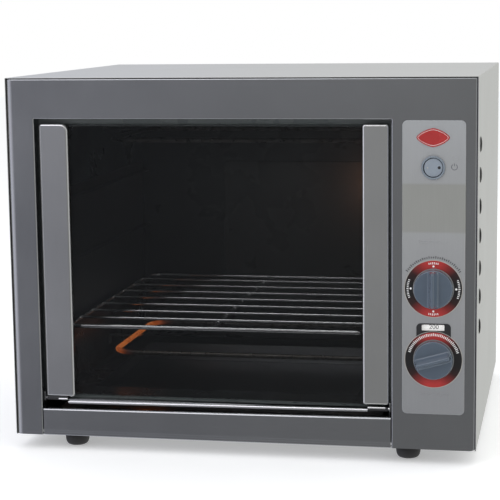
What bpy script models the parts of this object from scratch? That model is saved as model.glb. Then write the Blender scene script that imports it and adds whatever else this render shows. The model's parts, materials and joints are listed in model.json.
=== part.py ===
"""Countertop electric oven: steel cabinet, bottom-hinged glass door, crumb tray, wire shelf,
element selector, thermostat with a turning scale, and a round rocker switch.

Body coordinates in the functions below are millimetres: x from the cabinet's left edge, y from the
plane of its front edge towards the back, z from the underside of the cabinet. at() turns them into
the object's frame, whose origin is the centre of its footprint, on the surface that it stands on.
"""
import math

import bmesh
import bpy
from mathutils import Matrix, Vector
from mathutils.geometry import tessellate_polygon

# ---------------------------------------------------------------- driving dimensions (mm)
CAB_W = 575.0            # cabinet width
CAB_H = 446.0            # cabinet height without feet
CAB_D = 505.0            # cabinet depth
FOOT_H = 18.0            # feet below the cabinet
SHEET = 1.0              # steel sheet
GAP = 0.3                # clearance between pieces that touch
KNOB_REACH = 20.0        # how far the knobs stand in front of the cabinet's front edge
BUSH_REACH = 6.0         # how far the cord bush stands behind the rear cover
LOUVRE_H = 2.2           # height of a pressed louvre

OPEN_X = (35.0, 473.6)   # door opening in the fascia
OPEN_Z = (41.0, 396.0)
FASCIA_Y = 0.6           # fascia's front face
FOLD = 20.7              # depth of the folds round the door opening

DOOR_X = (37.9, 469.8)   # door over its stiles
DOOR_Z = (43.5, 390.2)
DOOR_Y = (8.0, 19.5)     # front of the stiles, back of the stiles
STILE_W = (37.4, 32.0)   # left and right stile
GLASS_T = 4.0
HINGE_Y, HINGE_Z = 11.5, 45.7
PIN_R = 1.8

CAV_X = (52.0, 456.0)    # inside of the oven cavity
CAV_Y = (21.0, 441.0)
CAV_Z = (48.8, 386.0)
LINER_T = 0.8

SHELF_Z = 135.0          # centre of the shelf's wires
SHELF_Y = (28.0, 433.0)
SHELF_X = (62.5, 445.5)
WIRE_R = 1.8
FRAME_R = 2.8

ELEMENT_R = 3.25
ELEMENT_Y = (115.0, 325.0)
ELEMENT_X = 95.0
LOWER_Z, UPPER_Z = 84.0, 362.0

PLATE_X = (486.5, 560.8) # control panel plate
PLATE_Z = (44.0, 395.0)
SWITCH = (522.9, 339.8)
SELECTOR = (523.6, 196.1)
THERMO = (524.0, 110.7)
BULB_Y, BULB_Z = 246.0, 332.0   # where the capillary leaves the cavity
KNOB_R = 23.5
SCALE_R = 43.0
WINDOW_X = (503.8, 543.0)
WINDOW_Z = (142.4, 153.0)

LOUVRE_Z = (364.0, 327.5, 290.0, 254.5, 215.5, 181.0, 144.5)

# ---------------------------------------------------------------- object frame
MID_X = (CAB_W + LOUVRE_H) / 2
MID_Y = (-KNOB_REACH + CAB_D + BUSH_REACH) / 2


def at(x, y, z):
    return Vector(((x - MID_X) / 1000, (y - MID_Y) / 1000, (z + FOOT_H) / 1000))


def mm(v):
    return v / 1000


for old in list(bpy.data.objects):
    bpy.data.objects.remove(old, do_unlink=True)

# ---------------------------------------------------------------- materials
PALETTE = {
    "brushed_steel": ((0.42, 0.42, 0.43), 0.34, 1.0),
    "front_steel": ((0.22, 0.225, 0.23), 0.3, 1.0),
    "stile_steel": ((0.34, 0.34, 0.35), 0.3, 1.0),
    "zinc_steel": ((0.5, 0.51, 0.52), 0.45, 1.0),
    "enamel": ((0.03, 0.03, 0.033), 0.35, 0.0),
    "glass": ((0.02, 0.02, 0.022), 0.03, 0.0),
    "panel": ((0.4, 0.41, 0.42), 0.35, 0.6),
    "black_plastic": ((0.02, 0.02, 0.022), 0.4, 0.0),
    "knob_plastic": ((0.14, 0.18, 0.22), 0.2, 0.0),
    "rocker_plastic": ((0.3, 0.31, 0.32), 0.3, 0.0),
    "rubber": ((0.015, 0.015, 0.015), 0.7, 0.0),
    "chrome": ((0.6, 0.6, 0.6), 0.12, 1.0),
    "element": ((0.12, 0.11, 0.1), 0.5, 1.0),
    "ceramic": ((0.8, 0.78, 0.72), 0.5, 0.0),
    "wool": ((0.75, 0.7, 0.5), 0.95, 0.0),
    "brass": ((0.6, 0.45, 0.2), 0.3, 1.0),
    "copper": ((0.7, 0.35, 0.2), 0.3, 1.0),
    "scale": ((0.75, 0.74, 0.72), 0.5, 0.0),
    "clear": ((0.7, 0.7, 0.7), 0.05, 0.0),
    "tray": ((0.55, 0.55, 0.56), 0.3, 1.0),
}


def material(name, look):
    colour, rough, metal = PALETTE[look]
    m = bpy.data.materials.new(name)
    m.use_nodes = True
    b = m.node_tree.nodes["Principled BSDF"]
    b.inputs["Base Color"].default_value = (*colour, 1)
    b.inputs["Roughness"].default_value = rough
    b.inputs["Metallic"].default_value = metal
    m.diffuse_color = (*colour, 1)
    return m


# ---------------------------------------------------------------- mesh helpers
def face_out(bm):
    bmesh.ops.recalc_face_normals(bm, faces=bm.faces)
    if bm.calc_volume(signed=True) < 0:
        bmesh.ops.reverse_faces(bm, faces=bm.faces)


def finish(name, bm, look, origin=None, smooth=None):
    """Names the piece, puts its origin at a body point in mm, and gives it its own material."""
    face_out(bm)
    o = at(*origin) if origin else Vector((0, 0, 0))
    bmesh.ops.translate(bm, verts=bm.verts, vec=-o)
    me = bpy.data.meshes.new(name)
    bm.to_mesh(me)
    bm.free()
    ob = bpy.data.objects.new(name, me)
    ob.location = o
    bpy.context.scene.collection.objects.link(ob)
    me.materials.append(material(name, look))
    if smooth:
        me.shade_smooth()
        me.set_sharp_from_angle(angle=math.radians(smooth))
    return ob


def loft(rings, close=False, caps=True):
    """A tube through rings of equal length; its ends are capped unless it closes on itself."""
    bm = bmesh.new()
    vs = [[bm.verts.new(p) for p in ring] for ring in rings]
    n = len(rings[0])
    pairs = list(zip(vs, vs[1:])) + ([(vs[-1], vs[0])] if close else [])
    for a, b in pairs:
        for i in range(n):
            j = (i + 1) % n
            bm.faces.new((a[i], a[j], b[j], b[i]))
    if caps and not close:
        bm.faces.new(vs[0])
        bm.faces.new(list(reversed(vs[-1])))
    return bm


def block(x0, x1, y0, y1, z0, z1, bm=None):
    bm = bm or bmesh.new()
    v = [bm.verts.new(at(x, y, z)) for x in (x0, x1) for y in (y0, y1) for z in (z0, z1)]
    for f in ((0, 1, 3, 2), (4, 6, 7, 5), (0, 4, 5, 1), (2, 3, 7, 6), (0, 2, 6, 4), (1, 5, 7, 3)):
        bm.faces.new([v[i] for i in f])
    return bm


def rrect(a0, a1, b0, b1, r, n=3):
    """Rounded rectangle outline in a plane, anticlockwise."""
    pts = []
    for ca, cb, start in ((a1 - r, b0 + r, -90), (a1 - r, b1 - r, 0), (a0 + r, b1 - r, 90), (a0 + r, b0 + r, 180)):
        for k in range(n + 1):
            t = math.radians(start + 90 * k / n)
            pts.append((ca + r * math.cos(t), cb + r * math.sin(t)))
    return pts


def slot(a, b, half, r):
    """Straight slot with pointed round ends."""
    return [(a - half, b - r), (a + half, b - r), (a + half + r * 0.8, b), (a + half, b + r), (a - half, b + r), (a - half - r * 0.8, b)]


def circle(a, b, r, n=24, phase=0.0):
    return [(a + r * math.cos(2 * math.pi * (k + phase) / n), b + r * math.sin(2 * math.pi * (k + phase) / n)) for k in range(n)]


def slab(loops, plane, t0, t1):
    """A plate: an outline and its holes in one plane, between two levels of the third direction."""
    place = {"xz": lambda a, b, t: at(a, t, b), "xy": lambda a, b, t: at(a, b, t), "yz": lambda a, b, t: at(t, a, b)}[plane]
    tris = tessellate_polygon([[Vector((a, b, 0)) for a, b in loop] for loop in loops])
    flat = [p for loop in loops for p in loop]
    bm = bmesh.new()
    low = [bm.verts.new(place(a, b, t0)) for a, b in flat]
    high = [bm.verts.new(place(a, b, t1)) for a, b in flat]
    for i, j, k in tris:
        bm.faces.new((low[i], low[j], low[k]))
        bm.faces.new((high[i], high[k], high[j]))
    s = 0
    for loop in loops:
        n = len(loop)
        for i in range(n):
            j = (i + 1) % n
            bm.faces.new((low[s + i], low[s + j], high[s + j], high[s + i]))
        s += n
    return bm


def lathe(profile, centre, n=32, axis="y", bore=False):
    """Turns (radius, level) points about an axis through a body point; level is along the axis."""
    rings = []
    for r, t in profile:
        ring = []
        for k in range(n):
            a = 2 * math.pi * k / n
            c, s = r * math.cos(a), r * math.sin(a)
            if axis == "y":
                ring.append(at(centre[0] + c, centre[1] + t, centre[2] + s))
            elif axis == "x":
                ring.append(at(centre[0] + t, centre[1] + c, centre[2] + s))
            else:
                ring.append(at(centre[0] + c, centre[1] + s, centre[2] + t))
        rings.append(ring)
    return loft(rings, close=bore)


def tube(points, radii, sides=8):
    """A round rod along body points, with one radius or one for each point."""
    if not isinstance(radii, (list, tuple)):
        radii = [radii] * len(points)
    pts = [Vector(p) for p in points]
    rings, side = [], None
    for i, p in enumerate(pts):
        d0 = (pts[i] - pts[i - 1]).normalized() if i else (pts[1] - pts[0]).normalized()
        d1 = (pts[i + 1] - pts[i]).normalized() if i + 1 < len(pts) else d0
        d = (d0 + d1).normalized()
        if side is None:
            side = d.orthogonal().normalized()
        side = (side - d * side.dot(d)).normalized()
        up = d.cross(side)
        stretch = 1 / max(0.5, d.dot(d0))
        rings.append([at(*(p + (side * math.cos(2 * math.pi * k / sides) + up * math.sin(2 * math.pi * k / sides)) * radii[i] * (stretch if 0 < i < len(pts) - 1 else 1))) for k in range(sides)])
    return loft(rings)


def bend(corner, before, after, r, n=5):
    """Points of a round bend of radius r at a corner between two straight runs."""
    c, a, b = Vector(corner), Vector(before), Vector(after)
    u, w = (a - c).normalized(), (b - c).normalized()
    half = u.angle(w) / 2
    reach = r / math.tan(half)
    centre = c + (u + w).normalized() * (r / math.sin(half))
    p0, p1 = c + u * reach, c + w * reach
    out = []
    for k in range(n + 1):
        t = k / n
        v = (p0 - centre).normalized().slerp((p1 - centre).normalized(), t)
        out.append(centre + v * r)
    return out


def route(corners, r, n=5):
    """A path with round bends at its inner corners."""
    pts = [Vector(corners[0])]
    for i in range(1, len(corners) - 1):
        pts += bend(corners[i], corners[i - 1], corners[i + 1], r, n)
    return pts + [Vector(corners[-1])]


def cutter(name, parts):
    """One hidden guide made of separate closed shapes."""
    bm = bmesh.new()
    for part in parts:
        face_out(part)
        tmp = bpy.data.meshes.new("tmp")
        part.to_mesh(tmp)
        part.free()
        bm.from_mesh(tmp)
        bpy.data.meshes.remove(tmp)
    me = bpy.data.meshes.new(name)
    bm.to_mesh(me)
    bm.free()
    ob = bpy.data.objects.new(name, me)
    bpy.context.scene.collection.objects.link(ob)
    ob.hide_render = True
    ob.display_type = "WIRE"
    return ob


def boolean(ob, guide, how="DIFFERENCE"):
    m = ob.modifiers.new(how.lower() + "_" + guide.name, "BOOLEAN")
    m.operation = how
    m.object = guide
    m.solver = "EXACT"
    return m


def solidify(ob, t, offset=-1.0):
    m = ob.modifiers.new("sheet", "SOLIDIFY")
    m.thickness = mm(t)
    m.offset = offset
    m.use_even_offset = True
    m.use_rim = True
    return m


def bevel(ob, w, segments=2, angle=40):
    m = ob.modifiers.new("edges", "BEVEL")
    m.width = mm(w)
    m.segments = segments
    m.limit_method = "ANGLE"
    m.angle_limit = math.radians(angle)
    return m


# ================================================================ cabinet
def outer_wrap():
    """Left side, top and right side in one sheet; flanges turn in at the bottom, the front edge is hemmed."""
    r, n = 3.0, 3
    H, W = CAB_H, CAB_W
    outer = [(15.0, 0.0), (0.0, 0.0)]
    outer += [(r - r * math.cos(math.radians(90 * k / n)), H - r + r * math.sin(math.radians(90 * k / n))) for k in range(n + 1)]
    outer += [(W - x, z) for x, z in reversed(outer)]

    def ring(y, t, grow=0.0):
        """Closed section: the outer line and back along a line t further in."""
        inner = [(15.0, t), (t, t)]
        if t < r:
            inner += [(r - (r - t) * math.cos(math.radians(90 * k / n)), H - r + (r - t) * math.sin(math.radians(90 * k / n))) for k in range(n + 1)]
        else:
            inner += [(t + 0.05 * k, H - t - 0.05 * (n - k)) for k in range(n + 1)]
        inner += [(W - x, z) for x, z in reversed(inner)]
        return [at(x, y, z) for x, z in outer] + [at(x, y, z) for x, z in reversed(inner)]

    D = CAB_D
    bm = loft([ring(0, 1.9), ring(9, 1.9), ring(9.4, SHEET), ring(D - 3.5, SHEET), ring(D - 3.3, 14.5),
               ring(D - 2.3, 14.5), ring(D - 2.2, SHEET), ring(D, SHEET)])
    ob = finish("outer_wrap", bm, "brushed_steel", smooth=30)
    # louvres: a window and a scoop over it, its mouth towards the front
    windows, scoops = [], []
    ym, a, L, h = 42.0, 9.6, 9.0, LOUVRE_H
    for zc in LOUVRE_Z:
        windows.append(block(W - 3, W + 0.4, ym - 1.0, ym + 5.0, zc - 7.5, zc + 7.5))
        scoops.append(scoop(ym, zc, a, L, h, 0.8))
    for x, z in SCREWS:
        windows.append(lathe([(2.2, D - 6), (2.2, D + 2)], (x, 0, z), 10))
    g1 = cutter("louvre_windows", windows)
    g2 = cutter("louvre_scoops", scoops)
    boolean(ob, g1)
    boolean(ob, g2, "UNION")
    return ob


def scoop(ym, zc, a, L, h, t):
    """A quarter shell, open towards the front, standing on the right side of the cabinet."""
    nu, nf = 8, 4
    X = CAB_W - 0.5

    def shell(s, depth):
        rows = []
        for i in range(1, nu):
            u = math.pi * i / nu
            row = []
            for j in range(nf + 1):
                f = math.pi / 2 * j / nf
                row.append((ym + (L - s) * math.sin(u) * math.cos(f), zc - (a - s) * math.cos(u), depth + (h + 0.5 - s) * math.sin(u) ** 0.7 * math.sin(f)))
            rows.append(row)
        return rows

    bm = bmesh.new()
    out = [[bm.verts.new(at(X + d, y, z)) for y, z, d in row] for row in shell(0, 0)]
    inn = [[bm.verts.new(at(X + d, y, z)) for y, z, d in row] for row in shell(t, 0)]
    for i in range(nu - 2):
        for j in range(nf):
            bm.faces.new((out[i][j], out[i + 1][j], out[i + 1][j + 1], out[i][j + 1]))
            bm.faces.new((inn[i][j], inn[i][j + 1], inn[i + 1][j + 1], inn[i + 1][j]))
        bm.faces.new((out[i][nf], out[i + 1][nf], inn[i + 1][nf], inn[i][nf]))
        bm.faces.new((out[i][0], inn[i][0], inn[i + 1][0], out[i + 1][0]))
    for i, flip in ((0, False), (nu - 2, True)):
        for j in range(nf):
            f = (out[i][j], out[i][j + 1], inn[i][j + 1], inn[i][j])
            bm.faces.new(f if not flip else tuple(reversed(f)))
    return bm


def front_fascia():
    """Front sheet round the door opening, with the control column; its edges are folded back."""
    x0, x1, z0, z1 = 2.3, CAB_W - 2.3, 2.9, CAB_H - 2.3
    ox0, ox1, oz1 = OPEN_X[0], OPEN_X[1], OPEN_Z[1]
    outline = [(x0, 2.2), (15.4, 2.2), (15.4, 0.3), (ox0, 0.3), (ox0, oz1), (ox1, oz1), (ox1, 0.3), (CAB_W - 15.4, 0.3), (CAB_W - 15.4, 2.2), (x1, 2.2), (x1, z1), (x0, z1)]
    y = FASCIA_Y
    bm = bmesh.new()
    holes = [circle(*SWITCH, 12.6, 24), circle(*SELECTOR, 4.5, 16), circle(*THERMO, 4.5, 16),
             [(WINDOW_X[0], WINDOW_Z[0]), (WINDOW_X[1], WINDOW_Z[0]), (WINDOW_X[1], WINDOW_Z[1]), (WINDOW_X[0], WINDOW_Z[1])]]
    loops = [outline] + holes
    tris = tessellate_polygon([[Vector((a, b, 0)) for a, b in loop] for loop in loops])
    flat = [p for loop in loops for p in loop]
    v = [bm.verts.new(at(a, y, b)) for a, b in flat]
    for t in tris:
        bm.faces.new([v[i] for i in t])

    def fold(idx, depth):
        back = [bm.verts.new(v[i].co + Vector((0, mm(depth), 0))) for i in idx]
        for k in range(len(idx) - 1):
            bm.faces.new((v[idx[k]], v[idx[k + 1]], back[k + 1], back[k]))

    fold([3, 4, 5, 6], FOLD - FASCIA_Y)      # round the door opening
    fold([9, 10, 11, 0], 10.0)                 # outer edges
    bmesh.ops.recalc_face_normals(bm, faces=bm.faces)
    me_front = [f for f in bm.faces if abs(f.normal.y) > 0.9]
    if me_front and me_front[0].normal.y > 0:
        bmesh.ops.reverse_faces(bm, faces=bm.faces)
    name = "front_fascia"
    me = bpy.data.meshes.new(name)
    bm.to_mesh(me)
    bm.free()
    ob = bpy.data.objects.new(name, me)
    bpy.context.scene.collection.objects.link(ob)
    me.materials.append(material(name, "front_steel"))
    solidify(ob, SHEET)
    return ob


def base_plate():
    """Floor of the cabinet, on the side flanges of the outer wrap."""
    bm = block(1.3, CAB_W - 1.3, FOLD + 0.5, CAB_D - 3.6, 1.3, 2.5)
    return finish("base_plate", bm, "zinc_steel")


def rear_cover():
    """Back panel inside the wrap's rear edge, with rows of vent slots."""
    loops = [[(1.4, 1.4), (CAB_W - 1.4, 1.4), (CAB_W - 1.4, CAB_H - 4), (CAB_W - 4, CAB_H - 1.4), (4, CAB_H - 1.4), (1.4, CAB_H - 4)]]
    for col in range(5):
        for row in range(2):
            loops.append(slot(130 + col * 70.0, 350 + row * 30.0, 24.0, 3.0))
    for row in range(5):
        loops.append(slot(522.0, 150 + row * 18.0, 24.0, 3.0))
    loops.append(circle(523.0, 60.0, 9.5, 20))
    for x, z in SCREWS:
        loops.append(circle(x, z, 2.2, 10))
    bm = slab(loops, "xz", CAB_D - 2.0, CAB_D - 1.0)
    return finish("rear_cover", bm, "zinc_steel")


SCREWS = ((8.0, 14.0), (567.0, 14.0), (8.0, 434.0), (567.0, 434.0))


def rear_cover_screws():
    for (x, z), name in zip(SCREWS, ("lower_left", "lower_right", "upper_left", "upper_right")):
        prof = [(1.9, -9.0), (1.9, GAP), (3.8, GAP), (3.6, 1.6), (2.2, 2.3)]
        bm = lathe(prof, (x, CAB_D - 1.0, z), 10)
        finish("rear_cover_screw_" + name, bm, "zinc_steel", smooth=40)


def feet():
    for name, x, y in (("front_left", 70.0, 32.0), ("front_right", 491.0, 32.0), ("rear_left", 70.0, 465.0), ("rear_right", 491.0, 465.0)):
        prof = [(15.0, 1.0), (15.0, -7.0), (14.2, -12.0), (12.4, -16.0), (10.6, -18.0)]
        bm = lathe(prof, (x, y, 0), 18, "z")
        finish("foot_" + name, bm, "rubber", smooth=40)


def cavity_liner():
    """Oven box with a front flange that the door closes on; its floor is open above the crumb tray."""
    (x0, x1), (y0, y1), (z0, z1), t = CAV_X, CAV_Y, CAV_Z, LINER_T
    fx0, fx1, fz0, fz1 = 31.0, 477.6, 42.2, 400.0

    def ring(a0, a1, b0, b1, y, r):
        return [at(a, y, b) for a, b in rrect(a0, a1, b0, b1, r, 2)]

    rings = [ring(x0, x1, z0, z1, y1, 8), ring(x0, x1, z0, z1, y0, 8), ring(fx0, fx1, fz0, fz1, y0, 2),
             ring(fx0, fx1, fz0, fz1, y0 + t, 2), ring(x0 - t, x1 + t, z0 - t, z1 + t, y0 + t, 8.8), ring(x0 - t, x1 + t, z0 - t, z1 + t, y1 + t, 8.8)]
    ob = finish("cavity_liner", loft(rings), "enamel")
    cuts = [block(84, 424, 66, 402, z0 - 5, z0 + 5)]
    for z in (LOWER_Z, UPPER_Z):
        for y in ELEMENT_Y:
            cuts.append(lathe([(3.8, -3), (3.8, 3)], (x1 + 0.4, y, z), 12, "x"))
    cuts.append(lathe([(1.8, -3), (1.8, 3)], (x1 + 0.4, BULB_Y, BULB_Z), 10, "x"))
    boolean(ob, cutter("liner_openings", cuts))
    return ob


def control_bulkhead():
    """Sheet wall between the insulated cavity and the controls."""
    loops = [[(24.0, 2.9), (498.0, 2.9), (498.0, 440.0), (24.0, 440.0)]]
    for z in (LOWER_Z, UPPER_Z):
        for y in ELEMENT_Y:
            loops.append(circle(y, z, 6.5, 12))
    loops.append(circle(BULB_Y, BULB_Z, 2.5, 10))
    for row in range(4):
        loops.append(slot(425.0, 190.0 + row * 30, 36.0, 3.0))
    return finish("control_bulkhead", slab(loops, "yz", 468.4, 469.4), "zinc_steel")


def insulation():
    """Mineral wool over the top and sides of the cavity, and behind it."""
    o = [(40.6, 50), (40.6, 398), (468.0, 398), (468.0, 50), (457.2, 50), (457.2, 387.3), (50.8, 387.3), (50.8, 50)]
    o = [(x, z) for x, z in o]
    ob = finish("insulation_blanket", slab([o], "xz", 22.6, 440.0), "wool")
    cuts = []
    for z in (LOWER_Z, UPPER_Z):
        for y in ELEMENT_Y:
            cuts.append(lathe([(5.5, -8), (5.5, 8)], (462.6, y, z), 12, "x"))
    cuts.append(lathe([(2.2, -8), (2.2, 8)], (462.6, BULB_Y, BULB_Z), 10, "x"))
    boolean(ob, cutter("blanket_openings", cuts))
    finish("rear_insulation", block(53, 455, 442.2, 460, 49, 386), "wool")


def tray_runners():
    """Angles on the base plate that guide the crumb tray."""
    for name, x, s in (("left", 47.0, 1), ("right", 461.0, -1)):
        prof = [(x, 2.8), (x + 9 * s, 2.8), (x + 9 * s, 3.8), (x + 1 * s, 3.8), (x + 1 * s, 24.0), (x, 24.0)]
        finish("tray_runner_" + name, slab([prof], "xz", 24.0, 440.0), "zinc_steel")


def shelf_supports():
    """Sheet sides with three ledges for the shelf."""
    for name, wall, s in (("left", CAV_X[0] + 0.3, 1), ("right", CAV_X[1] - 0.3, -1)):
        levels = (SHELF_Z - 4.1, SHELF_Z + 75.9, SHELF_Z + 155.9)
        prof = [(wall, 110.0), (wall + 0.9 * s, 110.0)]
        for z in levels:
            prof += [(wall + 0.9 * s, z), (wall + 11.0 * s, z), (wall + 11.0 * s, z + 1.2), (wall + 0.9 * s, z + 1.2)]
        prof += [(wall + 0.9 * s, 305.0), (wall, 305.0)]
        finish("shelf_support_" + name, slab([prof], "xz", 30.0, 436.0), "zinc_steel")


def wire_shelf():
    """Wire shelf: a thick front and back bar, side bars, cross wires and a support bar under the middle."""
    x0, x1, z = SHELF_X[0], SHELF_X[1], SHELF_Z
    y0, y1 = SHELF_Y
    corners = [(x0, y0), (x1, y0), (x1, y1), (x0, y1)]
    ring_pts = []
    r = 18.0
    for i, c in enumerate(corners):
        a, b = corners[i - 1], corners[(i + 1) % 4]
        ring_pts += bend((c[0], c[1], z), (a[0], a[1], z), (b[0], b[1], z), r, 3)
    sides = 8
    rings = []
    n = len(ring_pts)
    for i, p in enumerate(ring_pts):
        d = (ring_pts[(i + 1) % n] - ring_pts[i - 1]).normalized()
        out = Vector((d.y, -d.x, 0))
        up = Vector((0, 0, 1))
        rings.append([at(*(p + (out * math.cos(2 * math.pi * (k + 0.5) / sides) + up * math.sin(2 * math.pi * (k + 0.5) / sides)) * FRAME_R)) for k in range(sides)])
    ob = finish("wire_shelf", loft(rings, close=True), "chrome", smooth=50)
    wires = []
    count = 7
    for i in range(count):
        y = y0 + (y1 - y0) * (i + 1) / (count + 1)
        wires.append(tube([(x0, y, z + 1.6), (x1, y, z + 1.6)], WIRE_R, 6))
    g = cutter("shelf_wires", wires)
    boolean(ob, g, "UNION")
    g = cutter("shelf_support_bar", [tube([((x0 + x1) / 2 - 8, y0, z - 1.1), ((x0 + x1) / 2 - 8, y1, z - 1.1)], 2.2, 6)])
    boolean(ob, g, "UNION")
    return ob


def elements():
    for name, z in (("lower", LOWER_Z), ("upper", UPPER_Z)):
        ya, yb = ELEMENT_Y
        path = route([(483.0, ya, z), (ELEMENT_X, ya, z), (ELEMENT_X, yb, z), (483.0, yb, z)], 28, 6)
        finish(name + "_element", tube(path, ELEMENT_R, 8), "element", smooth=60)
        for side, y in (("front", ya), ("rear", yb)):
            # the bushing sits on the tube outside the bulkhead
            prof = [(3.7, 0.0), (3.7, 7.0), (6.0, 7.0), (8.0, 5.5), (8.0, 0.0)]
            bm = lathe(prof, (469.8, y, z), 12, "x", bore=True)
            finish(f"{name}_element_insulator_{side}", bm, "ceramic", smooth=40)
        # a clip on the left wall carries the bend
        zz = z
        up = -1 if name == "lower" else 1
        leg = 30.0 if name == "lower" else 20.0
        c = [(CAV_X[0] + 0.3, zz + up * 3.7), (ELEMENT_X + 4, zz + up * 3.7), (ELEMENT_X + 4, zz + up * 4.7), (CAV_X[0] + 1.3, zz + up * 4.7), (CAV_X[0] + 1.3, zz + up * (4.7 + 12)), (CAV_X[0] + 0.3, zz + up * (4.7 + 12))]
        finish(name + "_element_clip", slab([c], "xz", 238.0, 252.0), "zinc_steel")


# ================================================================ door
def door():
    gx0, gx1 = DOOR_X[0] + 2.0, DOOR_X[1] - 2.0
    gy0 = 14.0
    finish("door_glass", block(gx0, gx1, gy0, gy0 + GLASS_T, 48.4, 389.6), "glass")

    def stile(name, edge, s, w):
        """Channel that wraps the glass: rounded front, inner lip, return behind the glass."""
        y0, yb = DOOR_Y
        r, t, n = 3.0, 1.2, 3
        arc = lambda cx, cy, rr, a0, a1: [(cx + rr * math.cos(math.radians(a0 + (a1 - a0) * k / n)), cy + rr * math.sin(math.radians(a0 + (a1 - a0) * k / n))) for k in range(n + 1)]
        out = [(12, yb), (0, yb)] + arc(r, y0 + r, r, 180, 270) + arc(w - r, y0 + r, r, 270, 360) + [(w, gy0 - GAP)]
        inn = [(w - t, gy0 - GAP)] + arc(w - r, y0 + r, r - t, 360, 270) + arc(r, y0 + r, r - t, 270, 180) + [(t, yb - t), (12, yb - t)]
        prof = [(edge + s * x, y) for x, y in out + inn]
        finish(name, slab([prof], "xy", 50.5, DOOR_Z[1]), "stile_steel", smooth=30)

    stile("door_stile_left", DOOR_X[0], 1, STILE_W[0])
    stile("door_stile_right", DOOR_X[1], -1, STILE_W[1])

    # bottom rail: a channel under the glass, rounded at the front
    y0, y1, z0, z1, t = 8.5, 19.5, DOOR_Z[0], 50.0, 1.0
    finish("door_bottom_rail", slab([[(y0 + 1.5, z1), (y0, z1 - 1.5), (y0, z0 + 1.5), (y0 + 1.5, z0), (y1, z0), (y1, z1), (y1 - t, z1), (y1 - t, z0 + t), (y0 + 1.9, z0 + t), (y0 + t, z0 + 1.9), (y0 + t, z1 - 1.9), (y0 + 1.9, z1 - t), (gy0 - 0.4, z1 - t), (gy0 - 0.4, z1)]], "yz", 66.3, 443.7), "stile_steel", smooth=30)

    # hinge bushes at the rail's ends turn on the pins
    for name, xa, xb in (("left", DOOR_X[0] + 1.2, 66.0), ("right", 444.0, DOOR_X[1] - 1.2)):
        loops = [rrect(HINGE_Y - 3.4, DOOR_Y[1] - 0.5, DOOR_Z[0] - 0.3, 47.9, 1.2, 2) , circle(HINGE_Y, HINGE_Z, PIN_R + 0.06, 16)]
        finish("door_hinge_bush_" + name, slab(loops, "yz", xa, xb), "black_plastic")
    for name, xa, xb in (("left", 35.4, 62.0), ("right", 448.0, 472.0)):
        bm = lathe([(PIN_R - 0.3, xa), (PIN_R, xa + 0.4), (PIN_R, xb - 0.6), (PIN_R - 0.5, xb)], (0, HINGE_Y, HINGE_Z), 16, "x")
        finish("door_hinge_pin_" + name, bm, "chrome", smooth=40)
    for name, xa in (("left", 36.0), ("right", 470.6)):
        loops = [rrect(HINGE_Y - 4.2, 20.4, 42.5, 54.0, 1.2, 2), circle(HINGE_Y, HINGE_Z, PIN_R + 0.06, 16)]
        finish("door_hinge_bracket_" + name, slab(loops, "yz", xa, xa + 1.2), "zinc_steel")


# ================================================================ crumb tray
def crumb_tray():
    """Front panel in line with the fascia, its top edge folded back; a shallow pan behind it."""
    x0, x1 = OPEN_X[0] + 1.2, OPEN_X[1] - 0.9
    y = FASCIA_Y
    r = 1.6
    top = OPEN_Z[0] - 0.2
    arc_o = [(y + r - r * math.cos(math.radians(90 * k / 3)), top - r + r * math.sin(math.radians(90 * k / 3))) for k in range(4)]
    arc_i = [(y + r - (r - 1) * math.cos(math.radians(90 * k / 3)), top - r + (r - 1) * math.sin(math.radians(90 * k / 3))) for k in reversed(range(4))]
    prof = [(y, 0.3)] + arc_o + [(y + 11, top), (y + 11, top - 1)] + arc_i + [(y + 1, 1.3), (y + 9, 1.3), (y + 9, 0.3)]
    finish("crumb_tray_front", slab([prof], "yz", x0, x1), "front_steel", smooth=30)

    (a0, a1), (b0, b1), (c0, c1), t = (49.5, 458.5), (1.9, 436.0), (4.1, 30.0), 0.8

    def ring(g, z, r):
        return [at(a, b, z) for a, b in rrect(a0 + g, a1 - g, b0 + g, b1 - g, r, 2)]

    rings = [ring(t, c0 + t, 6), ring(t, c1, 6), ring(0, c1, 6.8), ring(0, c0, 6.8)]
    finish("crumb_tray_pan", loft(rings), "tray")


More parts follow.
